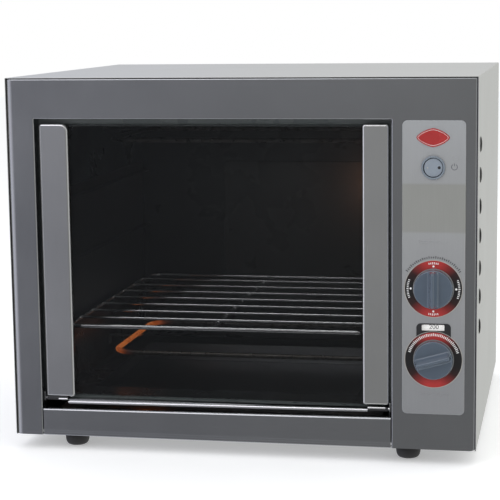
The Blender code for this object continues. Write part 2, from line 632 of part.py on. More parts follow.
# ================================================================ controls
def control_panel():
    loops = [rrect(*PLATE_X, *PLATE_Z, 6.0, 4), circle(*SWITCH, 12.9, 24), circle(*SELECTOR, 5.0, 16), circle(*THERMO, 5.0, 16),
             rrect(WINDOW_X[0] + 1, WINDOW_X[1] - 1, WINDOW_Z[0] + 1, WINDOW_Z[1] - 1, 1.0, 2)]
    finish("control_panel_plate", slab(loops, "xz", -0.7, FASCIA_Y - GAP), "panel")
    # clear window behind the panel, in the fascia's opening
    finish("scale_window", block(WINDOW_X[0] + 0.4, WINDOW_X[1] - 0.4, FASCIA_Y, FASCIA_Y + 1.2, WINDOW_Z[0] + 0.4, WINDOW_Z[1] - 0.4), "clear")

    # round rocker switch
    sx, sz = SWITCH
    prof = [(0.6, 5.0), (11.6, 5.0), (11.6, -2.4), (12.6, -3.0), (13.6, -2.6), (14.0, -1.6), (14.0, -1.0), (12.2, -1.0), (12.2, 20.0), (0.6, 20.0)]
    # cup: floor at 5, closed by caps at the centre
    rings_bm = lathe(prof, (sx, 0, sz), 24)
    finish("switch_housing", rings_bm, "black_plastic", smooth=40)

    # rocker: a thick disc, its face a shallow trough; turns about the upright line through its middle
    tilt = math.radians(7)
    bm = bmesh.new()
    n = 24
    R = 10.6
    rings = []
    for r, y in ((R * 0.98, 3.0), (R, 2.0), (R, -1.9), (R * 0.95, -2.6)):
        rings.append([(r * math.cos(2 * math.pi * k / n), y, r * math.sin(2 * math.pi * k / n)) for k in range(n)])
    for r in (R * 0.66, R * 0.33):
        rings.append([(r * math.cos(2 * math.pi * k / n), None, r * math.sin(2 * math.pi * k / n)) for k in range(n)])
    def face(x):
        return -1.4 - 1.2 * (x / R) ** 2
    def turn(p):
        x, y, z = p
        if y is None:
            y = face(x)
        elif y < -2:
            y = face(x) - 0.0
        xx = x * math.cos(tilt) - y * math.sin(tilt)
        yy = x * math.sin(tilt) + y * math.cos(tilt)
        return at(sx + xx, 0.2 + yy, sz + z)
    bm = loft([[turn(p) for p in ring] for ring in rings])
    finish("switch_rocker", bm, "rocker_plastic", origin=(sx, 0.2, sz), smooth=40)

    # knobs, shafts, switch body, thermostat
    knob("selector_knob", SELECTOR, 90.0)
    knob("thermostat_knob", THERMO, 18.0)
    for name, (kx, kz), ye in (("selector_shaft", SELECTOR, 16.0), ("thermostat_shaft", THERMO, 16.0)):
        bm = lathe([(2.6, -12.0), (3.0, -11.6), (3.0, ye)], (kx, 0, kz), 16)
        finish(name, bm, "zinc_steel", origin=(kx, 0, kz), smooth=40)

    kx, kz = THERMO
    bm = slab([circle(kx, kz, SCALE_R, 40), circle(kx, kz, 3.3, 16)], "xz", 3.4, 4.4)
    finish("temperature_scale_disc", bm, "scale", origin=(kx, 0, kz))

    # bracket behind the fascia carries the selector switch and the thermostat
    prof = [(1.9, 48.0), (3.1, 48.0), (3.1, 60.8), (9.2, 60.8), (9.2, 233.2), (3.1, 233.2), (3.1, 246.0), (1.9, 246.0), (1.9, 232.0), (8.0, 232.0), (8.0, 62.0), (1.9, 62.0)]
    ob = finish("control_mounting_bracket", slab([prof], "yz", 476.5, 568.5), "zinc_steel")
    boolean(ob, cutter("bracket_holes", [lathe([(3.7, 5), (3.7, 12)], (k[0], 0, k[1]), 14) for k in (SELECTOR, THERMO)]))

    for name, (kx, kz), w, h, back, look in (("selector_switch_body", SELECTOR, 21.0, 21.0, 38.0, "black_plastic"), ("thermostat_body", THERMO, 20.0, 24.0, 33.0, "ceramic")):
        def ring(g, y):
            return [at(a, y, b) for a, b in rrect(kx - w + g, kx + w - g, kz - h + g, kz + h - g, 4, 2)]
        ob = finish(name, loft([ring(1.5, 9.6), ring(0, 11.0), ring(0, back - 6), ring(3.5, back - 6), ring(3.5, back)]), look)
        boolean(ob, cutter(name + "_bore", [lathe([(3.5, 5), (3.5, 17.0)], (kx, 0, kz), 14)]))

    # thermostat bulb in the cavity, its thin tube led out to the thermostat
    kx, kz = THERMO
    path = [Vector((447.0, 150.0, BULB_Z)), Vector((447.0, 152.0, BULB_Z)), Vector((447.0, 226.0, BULB_Z)), Vector((447.0, 230.0, BULB_Z))]
    radii = [1.8, 3.0, 3.0, 0.9]
    run = route([(447.0, 231.0, BULB_Z), (447.0, BULB_Y, BULB_Z), (530.0, BULB_Y, BULB_Z), (530.0, BULB_Y, 118.0), (530.0, 33.4, 118.0)], 7, 4)
    path += run[1:]
    radii += [0.9] * (len(run) - 1)
    finish("thermostat_bulb", tube(path, radii, 8), "copper", smooth=50)

    bm = block(503, 543, 440, 458, 2.8, 12.0)
    ob = finish("terminal_block", bm, "ceramic")
    boolean(ob, cutter("terminal_ridges", [block(505 + 13 * i, 516 + 13 * i, 443, 455, 11.0, 20.0) for i in range(3)]), "UNION")

    prof = [(4.2, CAB_D - 8), (9.1, CAB_D - 8), (9.1, CAB_D - 0.7), (12.5, CAB_D - 0.7), (12.5, CAB_D + 2.0), (8.0, CAB_D + BUSH_REACH), (4.2, CAB_D + BUSH_REACH)]
    finish("cord_bush", lathe(prof, (523.0, 0, 60.0), 20, "y", bore=True), "black_plastic", smooth=30)


def knob(name, centre, angle):
    """Turned disc with a rounded grip bar across it and a blind bore for the shaft."""
    kx, kz = centre
    R = KNOB_R
    solid = [(R - 0.6, -1.4), (R, -2.0), (R - 0.5, -6.6), (R - 1.8, -8.0), (R * 0.5, -9.2)]
    bm = lathe(solid, (kx, 0, kz), 30)
    ob = finish(name, bm, "knob_plastic", origin=(kx, 0, kz), smooth=30)
    # grip bar, tapered towards its crest
    ca, sa = math.cos(math.radians(angle)), math.sin(math.radians(angle))

    def ring(half_len, half_w, y):
        pts = []
        for a, b in rrect(-half_len, half_len, -half_w, half_w, min(half_w, half_len) * 0.6, 3):
            pts.append(at(kx + a * ca - b * sa, y, kz + a * sa + b * ca))
        return pts

    bar = loft([ring(21.6, 5.6, -6.0), ring(21.2, 4.4, -16.5), ring(20.4, 3.4, -19.2), ring(19.4, 2.2, -KNOB_REACH)])
    boolean(ob, cutter(name + "_grip", [bar]), "UNION")
    boolean(ob, cutter(name + "_bore", [lathe([(3.3, -12.4), (3.3, 0.0)], (kx, 0, kz), 16)]))
    return ob


outer_wrap()
front_fascia()
base_plate()
rear_cover()
rear_cover_screws()
feet()
cavity_liner()
control_bulkhead()
insulation()
tray_runners()
shelf_supports()
wire_shelf()
elements()
door()
crumb_tray()
control_panel()
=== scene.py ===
"""Looks of the countertop electric oven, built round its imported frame.

Lengths in the helpers are millimetres in the cabinet's own axes: x from its left edge, y from its
front edge plane to the back, z from its underside. W() turns them into the frame's metres.
"""
import json
import math

import bmesh
import bpy
from mathutils import Matrix, Vector, noise
from mathutils.geometry import tessellate_polygon


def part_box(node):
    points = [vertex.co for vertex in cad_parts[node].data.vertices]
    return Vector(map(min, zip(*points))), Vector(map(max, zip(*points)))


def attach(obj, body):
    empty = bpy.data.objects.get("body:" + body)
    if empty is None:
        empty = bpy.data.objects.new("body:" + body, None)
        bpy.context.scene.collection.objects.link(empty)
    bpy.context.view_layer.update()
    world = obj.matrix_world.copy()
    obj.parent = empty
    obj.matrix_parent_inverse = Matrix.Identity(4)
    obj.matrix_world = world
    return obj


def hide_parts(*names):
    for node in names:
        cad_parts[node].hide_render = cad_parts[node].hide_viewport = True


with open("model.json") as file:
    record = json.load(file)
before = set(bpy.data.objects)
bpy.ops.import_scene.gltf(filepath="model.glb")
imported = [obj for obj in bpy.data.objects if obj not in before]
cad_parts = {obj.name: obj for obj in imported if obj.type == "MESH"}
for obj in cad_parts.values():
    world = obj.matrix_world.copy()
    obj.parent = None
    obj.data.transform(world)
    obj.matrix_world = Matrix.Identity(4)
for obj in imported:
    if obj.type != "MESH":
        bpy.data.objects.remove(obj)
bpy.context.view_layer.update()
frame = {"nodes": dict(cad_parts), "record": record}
NODES = frame["nodes"]
RECORD = frame["record"]

# ---------------------------------------------------------------- places, from the frame
_lo, _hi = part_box("outer_wrap")
_plate_lo, _plate_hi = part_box("base_plate")
MX = -_lo[0] * 1000          # cabinet's left edge
MY = -_lo[1] * 1000          # cabinet's front edge plane
FOOT = _lo[2] * 1000         # cabinet's underside above the ground
CAB_W, CAB_H, CAB_D = 575.0, 446.0, 505.0


def W(x, y, z):
    return Vector(((x - MX) / 1000, (y - MY) / 1000, (z + FOOT) / 1000))


OPEN_X = (35.0, 473.6)
OPEN_Z = (41.0, 396.0)
FASCIA_Y = 0.6
FOLD = 20.7
DOOR_X = (37.9, 469.8)
DOOR_Z = (43.5, 390.2)
DOOR_Y = (8.0, 19.5)
CAV_X, CAV_Y, CAV_Z = (52.0, 456.0), (21.0, 441.0), (48.8, 386.0)
SHELF_Z, SHELF_Y, SHELF_X = 135.0, (28.0, 433.0), (62.5, 445.5)
PLATE_X, PLATE_Z = (486.5, 560.8), (44.0, 395.0)
SWITCH, SELECTOR, THERMO = (522.9, 339.8), (523.6, 196.1), (524.0, 110.7)
WINDOW_X, WINDOW_Z = (503.8, 543.0), (142.4, 153.0)
LOUVRE_Z = (364.0, 327.5, 290.0, 254.5, 215.5, 181.0, 144.5)
LOWER_Z, UPPER_Z, ELEMENT_Y, ELEMENT_X = 84.0, 362.0, (115.0, 325.0), 95.0
SCREWS = ((8.0, 14.0), (567.0, 14.0), (8.0, 434.0), (567.0, 434.0))
KNOB_R = 23.5


# ---------------------------------------------------------------- materials
def tree(name):
    m = bpy.data.materials.new(name)
    m.use_nodes = True
    nt = m.node_tree
    b = nt.nodes["Principled BSDF"]
    return m, nt, b


def node(nt, kind, **kw):
    n = nt.nodes.new(kind)
    for k, v in kw.items():
        setattr(n, k, v)
    return n


def ramp(nt, fac, stops):
    r = node(nt, "ShaderNodeValToRGB")
    el = r.color_ramp.elements
    while len(el) > 1:
        el.remove(el[-1])
    el[0].position, el[0].color = stops[0][0], (*stops[0][1], 1)
    for p, c in stops[1:]:
        e = el.new(p)
        e.color = (*c, 1)
    nt.links.new(fac, r.inputs["Fac"])
    return r.outputs["Color"]


def noise_tex(nt, coord, scale=(1, 1, 1), freq=100.0, detail=4.0, rough=0.55):
    mp = node(nt, "ShaderNodeMapping")
    mp.inputs["Scale"].default_value = scale
    nt.links.new(coord, mp.inputs["Vector"])
    t = node(nt, "ShaderNodeTexNoise")
    t.inputs["Scale"].default_value = freq
    t.inputs["Detail"].default_value = detail
    t.inputs["Roughness"].default_value = rough
    nt.links.new(mp.outputs["Vector"], t.inputs["Vector"])
    return t.outputs["Fac"]


def span(nt, fac, lo, hi, a=0.3, b=0.7):
    """A grey value from lo to hi as the noise goes from a to b."""
    m = node(nt, "ShaderNodeMapRange")
    m.inputs["From Min"].default_value, m.inputs["From Max"].default_value = a, b
    m.inputs["To Min"].default_value, m.inputs["To Max"].default_value = lo, hi
    nt.links.new(fac, m.inputs["Value"])
    return m.outputs["Result"]


def bump(nt, b, height, strength, dist):
    n = node(nt, "ShaderNodeBump")
    n.inputs["Strength"].default_value = strength
    n.inputs["Distance"].default_value = dist
    nt.links.new(height, n.inputs["Height"])
    nt.links.new(n.outputs["Normal"], b.inputs["Normal"])
    return n


def tone(nt, colour, fac, lo, hi, a=0.3, b=0.7):
    """Base colour that goes from colour*lo to colour*hi with the noise."""
    return ramp(nt, span(nt, fac, 0, 1, a, b), [(0, [c * lo for c in colour]), (1, [min(1, c * hi) for c in colour])])


def coords(nt):
    return node(nt, "ShaderNodeTexCoord").outputs["Object"]


def steel(name, colour, rough=0.28, grain=(1, 60, 60), freq=60.0, depth=0.12, metal=1.0, spread=0.06, smudge=0.07, aniso=0.0):
    """Rolled or brushed steel: fine lines along one direction, soft smudges over them."""
    m, nt, b = tree(name)
    co = coords(nt)
    lines = noise_tex(nt, co, grain, freq, 6.0, 0.65)
    cloud = noise_tex(nt, co, (1, 1, 1), 9.0, 3.0, 0.5)
    mix = node(nt, "ShaderNodeMix", data_type="FLOAT")
    mix.inputs[0].default_value = 0.35
    nt.links.new(lines, mix.inputs[2])
    nt.links.new(cloud, mix.inputs[3])
    nt.links.new(tone(nt, colour, mix.outputs[0], 1 - spread, 1 + spread), b.inputs["Base Color"])
    mix2 = node(nt, "ShaderNodeMix", data_type="FLOAT")
    mix2.inputs[0].default_value = 0.5
    nt.links.new(lines, mix2.inputs[2])
    nt.links.new(cloud, mix2.inputs[3])
    nt.links.new(span(nt, mix2.outputs[0], rough - smudge, rough + smudge), b.inputs["Roughness"])
    b.inputs["Metallic"].default_value = metal
    b.inputs["Anisotropic"].default_value = aniso
    bump(nt, b, lines, depth, 0.00002)
    m.diffuse_color = (*colour, 1)
    return m


def plastic(name, colour, rough=0.35, freq=1500.0, depth=0.15, spread=0.08, coat=0.0, spec=0.5):
    m, nt, b = tree(name)
    co = coords(nt)
    fine = noise_tex(nt, co, (1, 1, 1), freq, 3.0, 0.6)
    cloud = noise_tex(nt, co, (1, 1, 1), 40.0, 4.0, 0.55)
    nt.links.new(tone(nt, colour, cloud, 1 - spread, 1 + spread), b.inputs["Base Color"])
    nt.links.new(span(nt, cloud, rough - 0.05, rough + 0.08), b.inputs["Roughness"])
    b.inputs["Coat Weight"].default_value = coat
    b.inputs["Coat Roughness"].default_value = 0.08
    b.inputs["Specular IOR Level"].default_value = spec
    bump(nt, b, fine, depth, 0.00003)
    m.diffuse_color = (*colour, 1)
    return m


def glow_steel(name, glow_painted_at):
    """Worn steel sheath with brown scale, and a painted glow: orange emission standing in for warm light glinting on
    it, over the span its last argument gives (from, to along x, strength).
    """
    m, nt, b = tree(name)
    co = coords(nt)
    n1 = noise_tex(nt, co, (1, 1, 1), 160.0, 5.0, 0.6)
    nt.links.new(ramp(nt, n1, [(0.3, (0.04, 0.03, 0.025)), (0.5, (0.09, 0.08, 0.072)), (0.72, (0.16, 0.15, 0.14))]), b.inputs["Base Color"])
    nt.links.new(span(nt, n1, 0.22, 0.42), b.inputs["Roughness"])
    b.inputs["Metallic"].default_value = 0.85
    bump(nt, b, n1, 0.2, 0.0002)
    # painted glow: orange emission over a stretch of x, standing in for warm glints of light
    sep = node(nt, "ShaderNodeSeparateXYZ")
    nt.links.new(co, sep.inputs[0])
    x = span(nt, sep.outputs[0], 0.0, 1.0, glow_painted_at[0], glow_painted_at[1])
    mul = node(nt, "ShaderNodeMath", operation="MULTIPLY")
    nt.links.new(x, mul.inputs[0])
    nt.links.new(span(nt, n1, 0.75, 1.15), mul.inputs[1])
    nt.links.new(ramp(nt, mul.outputs[0], [(0, (0, 0, 0)), (0.35, (0.05, 0.008, 0.002)), (0.75, (0.42, 0.085, 0.015)), (1, (0.75, 0.21, 0.045))]), b.inputs["Emission Color"])
    b.inputs["Emission Strength"].default_value = glow_painted_at[2]
    return m


def enamel(name, colour, rough=0.22, spots=0.6):
    """Gloss enamel with faint orange peel and pale specks."""
    m, nt, b = tree(name)
    co = coords(nt)
    peel = noise_tex(nt, co, (1, 1, 1), 300.0, 2.0, 0.5)
    speck = noise_tex(nt, co, (1, 1, 1), 1400.0, 2.0, 0.5)
    nt.links.new(ramp(nt, speck, [(0.0, colour), (0.66, colour), (0.74, [c + 0.1 * spots for c in colour])]), b.inputs["Base Color"])
    cloud = noise_tex(nt, co, (1, 1, 1), 12.0, 4.0, 0.6)
    nt.links.new(span(nt, cloud, rough - 0.06, rough + 0.14), b.inputs["Roughness"])
    bump(nt, b, peel, 0.2, 0.0001)
    return m


def liner_enamel(name):
    """Gloss enamel; the front flange, outside the cavity, is barer and lighter."""
    m, nt, b = tree(name)
    co = coords(nt)
    sep = node(nt, "ShaderNodeSeparateXYZ")
    nt.links.new(co, sep.inputs[0])
    y = W(0, CAV_Y[0] + 1.6, 0).y
    f = span(nt, sep.outputs[1], 0, 1, y - 0.0004, y + 0.0004)
    speck = noise_tex(nt, co, (1, 1, 1), 1400.0, 2.0, 0.5)
    cloud = noise_tex(nt, co, (1, 1, 1), 12.0, 4.0, 0.6)
    dark = ramp(nt, speck, [(0.0, (0.020, 0.021, 0.022)), (0.66, (0.024, 0.025, 0.026)), (0.74, (0.08, 0.08, 0.08))])
    mix = node(nt, "ShaderNodeMix", data_type="RGBA")
    nt.links.new(f, mix.inputs[0])
    nt.links.new(ramp(nt, cloud, [(0.3, (0.10, 0.115, 0.115)), (0.7, (0.13, 0.145, 0.145))]), mix.inputs[6])
    nt.links.new(dark, mix.inputs[7])
    nt.links.new(mix.outputs[2], b.inputs["Base Color"])
    nt.links.new(span(nt, cloud, 0.2, 0.42), b.inputs["Roughness"])
    bump(nt, b, noise_tex(nt, co, (1, 1, 1), 300.0, 2.0, 0.5), 0.2, 0.0001)
    return m


def wool(name):
    m, nt, b = tree(name)
    co = coords(nt)
    n1 = noise_tex(nt, co, (1, 0.25, 1), 500.0, 6.0, 0.7)
    n2 = noise_tex(nt, co, (1, 1, 1), 30.0, 4.0, 0.6)
    mix = node(nt, "ShaderNodeMix", data_type="FLOAT")
    mix.inputs[0].default_value = 0.4
    nt.links.new(n1, mix.inputs[2])
    nt.links.new(n2, mix.inputs[3])
    nt.links.new(ramp(nt, mix.outputs[0], [(0.3, (0.32, 0.27, 0.14)), (0.5, (0.6, 0.54, 0.34)), (0.7, (0.78, 0.73, 0.55))]), b.inputs["Base Color"])
    nt.links.new(span(nt, n1, 0.85, 1.0), b.inputs["Roughness"])
    b.inputs["Sheen Weight"].default_value = 0.3
    bump(nt, b, n1, 0.8, 0.002)
    return m


def glass(name):
    """Smoked tempered glass: mostly dark, partly see-through, polished."""
    m, nt, b = tree(name)
    co = coords(nt)
    cloud = noise_tex(nt, co, (1, 1, 1), 6.0, 3.0, 0.5)
    nt.links.new(ramp(nt, cloud, [(0.3, (0.0050, 0.0060, 0.0068)), (0.7, (0.0062, 0.0070, 0.0076))]), b.inputs["Base Color"])
    nt.links.new(span(nt, cloud, 0.015, 0.05), b.inputs["Roughness"])
    nt.links.new(span(nt, cloud, GLASS_ALPHA - 0.015, GLASS_ALPHA + 0.015), b.inputs["Alpha"])
    b.inputs["IOR"].default_value = 1.5
    m.blend_method = "BLEND"
    return m


def clear(name):
    m, nt, b = tree(name)
    co = coords(nt)
    cloud = noise_tex(nt, co, (1, 1, 1), 60.0, 3.0, 0.5)
    nt.links.new(ramp(nt, cloud, [(0.3, (0.75, 0.76, 0.76)), (0.7, (0.85, 0.85, 0.85))]), b.inputs["Base Color"])
    nt.links.new(span(nt, cloud, 0.02, 0.1), b.inputs["Roughness"])
    nt.links.new(span(nt, cloud, 0.04, 0.07), b.inputs["Alpha"])
    return m


def overlay(name):
    """Printed silver overlay: satin lacquer with fine vertical brushing, a warmer band in the middle, and painted shade
    that darkens it towards the foot.
    """
    m, nt, b = tree(name)
    co = coords(nt)
    lines = noise_tex(nt, co, (60, 1, 1), 30.0, 5.0, 0.6)
    sep = node(nt, "ShaderNodeSeparateXYZ")
    nt.links.new(co, sep.inputs[0])
    z0 = (FOOT + PLATE_Z[0]) / 1000
    z1 = (FOOT + PLATE_Z[1]) / 1000
    up = span(nt, sep.outputs[2], 0, 1, z0, z1)
    at = lambda z: (z - PLATE_Z[0]) / (PLATE_Z[1] - PLATE_Z[0])
    # painted shade: the silver darkens from the plate's top down to its foot
    silver_foot_painted_shade, silver_mid, silver_top, band = (0.285, 0.29, 0.30), (0.36, 0.365, 0.37), (0.39, 0.40, 0.41), (0.315, 0.318, 0.30)
    cols = ramp(nt, up, [(0, silver_foot_painted_shade), (at(262.5), silver_mid), (at(264), band), (at(320), band), (at(321.5), silver_mid), (1, silver_top)])
    mul = node(nt, "ShaderNodeMix", data_type="RGBA", blend_type="MULTIPLY")
    mul.inputs[0].default_value = 1.0
    nt.links.new(cols, mul.inputs[6])
    nt.links.new(ramp(nt, lines, [(0.3, (0.97, 0.97, 0.97)), (0.7, (1.03, 1.03, 1.03))]), mul.inputs[7])
    nt.links.new(mul.outputs[2], b.inputs["Base Color"])
    nt.links.new(span(nt, lines, 0.34, 0.46), b.inputs["Roughness"])
    b.inputs["Metallic"].default_value = 0.35
    bump(nt, b, lines, 0.03, 0.00002)
    return m


def dial_print(name, centre):
    """Printed dial ring: red at the top and bottom, fading to black at both sides."""
    m, nt, b = tree(name)
    co = coords(nt)
    sep = node(nt, "ShaderNodeSeparateXYZ")
    nt.links.new(co, sep.inputs[0])
    c = W(centre[0], 0, centre[1])
    dz = node(nt, "ShaderNodeMath", operation="SUBTRACT")
    dz.inputs[1].default_value = c.z
    nt.links.new(sep.outputs[2], dz.inputs[0])
    dx = node(nt, "ShaderNodeMath", operation="SUBTRACT")
    dx.inputs[1].default_value = c.x
    nt.links.new(sep.outputs[0], dx.inputs[0])
    ang = node(nt, "ShaderNodeMath", operation="ARCTAN2")
    nt.links.new(dz.outputs[0], ang.inputs[0])
    nt.links.new(dx.outputs[0], ang.inputs[1])
    s = node(nt, "ShaderNodeMath", operation="SINE")
    nt.links.new(ang.outputs[0], s.inputs[0])
    a = node(nt, "ShaderNodeMath", operation="ABSOLUTE")
    nt.links.new(s.outputs[0], a.inputs[0])
    n1 = noise_tex(nt, co, (1, 1, 1), 900.0, 3.0, 0.6)
    add = node(nt, "ShaderNodeMath", operation="MULTIPLY_ADD")
    add.inputs[1].default_value = 0.05
    nt.links.new(n1, add.inputs[0])
    nt.links.new(a.outputs[0], add.inputs[2])
    nt.links.new(ramp(nt, add.outputs[0], [(0.30, (0.010, 0.009, 0.010)), (0.62, (0.03, 0.008, 0.008)), (0.86, (0.20, 0.014, 0.013)), (1.0, (0.40, 0.024, 0.022))]), b.inputs["Base Color"])
    nt.links.new(span(nt, n1, 0.28, 0.4), b.inputs["Roughness"])
    return m


def rubber(name):
    m, nt, b = tree(name)
    co = coords(nt)
    n1 = noise_tex(nt, co, (1, 1, 1), 700.0, 5.0, 0.7)
    nt.links.new(ramp(nt, n1, [(0.3, (0.012, 0.011, 0.012)), (0.7, (0.03, 0.028, 0.03))]), b.inputs["Base Color"])
    nt.links.new(span(nt, n1, 0.5, 0.75), b.inputs["Roughness"])
    bump(nt, b, n1, 0.35, 0.0002)
    return m


GLASS_ALPHA = 0.35
def scale_disc(name):
    """White printed scale with a painted glow: a faint emission brightens it where the recess behind the window leaves
    it in shade.
    """
    m, nt, b = tree(name)
    co = coords(nt)
    n1 = noise_tex(nt, co, (1, 1, 1), 500.0, 3.0, 0.6)
    nt.links.new(ramp(nt, n1, [(0.3, (0.84, 0.83, 0.81)), (0.7, (0.9, 0.89, 0.87))]), b.inputs["Base Color"])
    nt.links.new(span(nt, n1, 0.4, 0.55), b.inputs["Roughness"])
    # painted glow: emission in place of the light that the shaded recess keeps off the scale
    b.inputs["Emission Color"].default_value = (1.0, 0.98, 0.95, 1)
    b.inputs["Emission Strength"].default_value = 0.35
    return m


M = {
    "brushed_steel": steel("brushed_steel", (0.52, 0.52, 0.51), 0.36, (1.2, 60, 60), 40.0, 0.10, spread=0.05),
    "front_steel": steel("front_steel", (0.39, 0.395, 0.41), 0.22, (60, 60, 1.2), 40.0, 0.08, spread=0.05, smudge=0.05),
    "tray_front_steel": steel("tray_front_steel", (0.40, 0.405, 0.42), 0.22, (1.2, 60, 60), 40.0, 0.08, spread=0.05, smudge=0.05),
    "stile_steel": steel("stile_steel", (0.56, 0.56, 0.57), 0.24, (60, 60, 1.2), 50.0, 0.03, spread=0.04, smudge=0.04),
    # painted light: a lighter copy of the stile steel for the right stile, which catches more light than the left
    "stile_right_steel": steel("stile_right_steel", (0.66, 0.66, 0.655), 0.24, (60, 60, 1.2), 50.0, 0.03, spread=0.04, smudge=0.04),
    "rail_steel": steel("rail_steel", (0.66, 0.66, 0.67), 0.16, (1.2, 60, 60), 50.0, 0.06, spread=0.06, smudge=0.04),
    "zinc_steel": steel("zinc_steel", (0.26, 0.265, 0.27), 0.42, (1, 1, 1), 160.0, 0.15, spread=0.12, smudge=0.1),
    "tray_aluminium": steel("tray_aluminium", (0.34, 0.34, 0.35), 0.34, (1.2, 60, 60), 60.0, 0.12, spread=0.08, smudge=0.09),
    "chrome_wire": steel("chrome_wire", (0.66, 0.66, 0.67), 0.13, (1, 1, 1), 260.0, 0.05, spread=0.05, smudge=0.05),
    "dark_enamel": enamel("dark_enamel", (0.028, 0.027, 0.027), 0.24),
    "liner": liner_enamel("liner"),
    "panel_enamel": enamel("panel_enamel", (0.045, 0.046, 0.045), 0.26),
    "mineral_wool": wool("mineral_wool"),
    "ceramic": plastic("ceramic", (0.78, 0.75, 0.68), 0.5, 900.0, 0.25, 0.08),
    "black_plastic": plastic("black_plastic", (0.018, 0.018, 0.02), 0.42, 1500.0, 0.3, 0.15),
    "rubber": rubber("rubber"),
    "copper_tube": steel("copper_tube", (0.62, 0.34, 0.22), 0.3, (1, 1, 1), 200.0, 0.1, spread=0.15),
    "scale_print": scale_disc("scale_print"),
    "ink": plastic("ink", (0.015, 0.015, 0.017), 0.5, 900.0, 0.1, 0.1),
    "grey_ink": plastic("grey_ink", (0.12, 0.125, 0.14), 0.5, 900.0, 0.1, 0.1),
    "white_ink": plastic("white_ink", (0.85, 0.85, 0.84), 0.45, 900.0, 0.1, 0.04),
    "rim_lacquer": plastic("rim_lacquer", (0.40, 0.38, 0.35), 0.35, 900.0, 0.1, 0.05),
    "knob_plastic": plastic("knob_plastic", (0.072, 0.096, 0.13), 0.2, 1400.0, 0.06, 0.06, coat=0.9),
    "bezel_plastic": plastic("bezel_plastic", (0.17, 0.20, 0.235), 0.3, 1400.0, 0.1, 0.06, coat=0.3),
    "rocker_plastic": plastic("rocker_plastic", (0.24, 0.275, 0.32), 0.3, 1400.0, 0.08, 0.05, coat=0.3),
    "badge_red": plastic("badge_red", (0.37, 0.02, 0.02), 0.26, 900.0, 0.06, 0.1, coat=0.6),
    "panel_overlay": overlay("panel_overlay"),
    "clear_window": clear("clear_window"),
    "tinted_glass": glass("tinted_glass"),
    "glass_edge": plastic("glass_edge", (0.10, 0.135, 0.13), 0.3, 900.0, 0.1, 0.1),
    # painted glow on the sheaths: on the lower one's left leg and the upper one's right end
    "lower_sheath": glow_steel("lower_sheath", (-0.165, -0.192, 0.9)),
    "upper_sheath": glow_steel("upper_sheath", (0.05, 0.25, 0.05)),
    "selector_print": dial_print("selector_print", SELECTOR),
    "thermostat_print": dial_print("thermostat_print", THERMO),
}


# ---------------------------------------------------------------- mesh helpers
def out(bm):
    bmesh.ops.recalc_face_normals(bm, faces=bm.faces)
    if bm.calc_volume(signed=True) < 0:
        bmesh.ops.reverse_faces(bm, faces=bm.faces)
    return bm


def put(name, bm, body, mat, replaces=(), smooth=35, weighted=True, fix=True):
    if fix:
        out(bm)
    me = bpy.data.meshes.new(name)
    bm.to_mesh(me)
    bm.free()
    ob = bpy.data.objects.new(name, me)
    bpy.context.scene.collection.objects.link(ob)
    for m in (mat if isinstance(mat, (list, tuple)) else [mat]):
        me.materials.append(M[m])
    if smooth:
        me.shade_smooth()
        me.set_sharp_from_angle(angle=math.radians(smooth))
        if weighted:
            w = ob.modifiers.new("normals", "WEIGHTED_NORMAL")
            w.keep_sharp = True
            w.weight = 80
    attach(ob, body)
    if replaces:
        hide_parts(*((replaces,) if isinstance(replaces, str) else replaces))
    return ob


def join(*parts):
    bm = bmesh.new()
    for p in parts:
        out(p)
        me = bpy.data.meshes.new("tmp")
        p.to_mesh(me)
        p.free()
        bm.from_mesh(me)
        bpy.data.meshes.remove(me)
    return bm


def loft(rings, close=False, caps=True):
    bm = bmesh.new()
    vs = [[bm.verts.new(p) for p in ring] for ring in rings]
    n = len(rings[0])
    pairs = list(zip(vs, vs[1:])) + ([(vs[-1], vs[0])] if close else [])
    for a, b in pairs:
        for i in range(n):
            j = (i + 1) % n
            bm.faces.new((a[i], a[j], b[j], b[i]))
    if caps and not close:
        for ring in (vs[0], list(reversed(vs[-1]))):
            bm.faces.new(ring)
    return bm


def box(x0, x1, y0, y1, z0, z1):
    bm = bmesh.new()
    v = [bm.verts.new(W(x, y, z)) for x in (x0, x1) for y in (y0, y1) for z in (z0, z1)]
    for f in ((0, 1, 3, 2), (4, 6, 7, 5), (0, 4, 5, 1), (2, 3, 7, 6), (0, 2, 6, 4), (1, 5, 7, 3)):
        bm.faces.new([v[i] for i in f])
    return bm


def rrect(a0, a1, b0, b1, r, n=6):
    """Rounded rectangle; r is one radius or four (lower right, upper right, upper left, lower left)."""
    if not isinstance(r, (list, tuple)):
        r = [r] * 4
    pts = []
    for q, (ca, cb, sa, sb, start) in zip(r, ((a1, b0, -1, 1, -90), (a1, b1, -1, -1, 0), (a0, b1, 1, -1, 90), (a0, b0, 1, 1, 180))):
        for k in range(n + 1):
            t = math.radians(start + 90 * k / n)
            pts.append((ca + sa * q + q * math.cos(t), cb + sb * q + q * math.sin(t)))
    return pts


def circle(a, b, r, n=64, phase=0.0):
    return [(a + r * math.cos(2 * math.pi * (k + phase) / n), b + r * math.sin(2 * math.pi * (k + phase) / n)) for k in range(n)]


def plate(loops, plane, t0, t1):
    place = {"xz": lambda a, b, t: W(a, t, b), "xy": lambda a, b, t: W(a, b, t), "yz": lambda a, b, t: W(t, a, b)}[plane]
    tris = tessellate_polygon([[Vector((a, b, 0)) for a, b in loop] for loop in loops])
    flat = [p for loop in loops for p in loop]
    bm = bmesh.new()
    low = [bm.verts.new(place(a, b, t0)) for a, b in flat]
    high = [bm.verts.new(place(a, b, t1)) for a, b in flat]
    for i, j, k in tris:
        bm.faces.new((low[i], low[j], low[k]))
        bm.faces.new((high[i], high[k], high[j]))
    s = 0
    for loop in loops:
        n = len(loop)
        for i in range(n):
            j = (i + 1) % n
            bm.faces.new((low[s + i], low[s + j], high[s + j], high[s + i]))
        s += n
    return bm


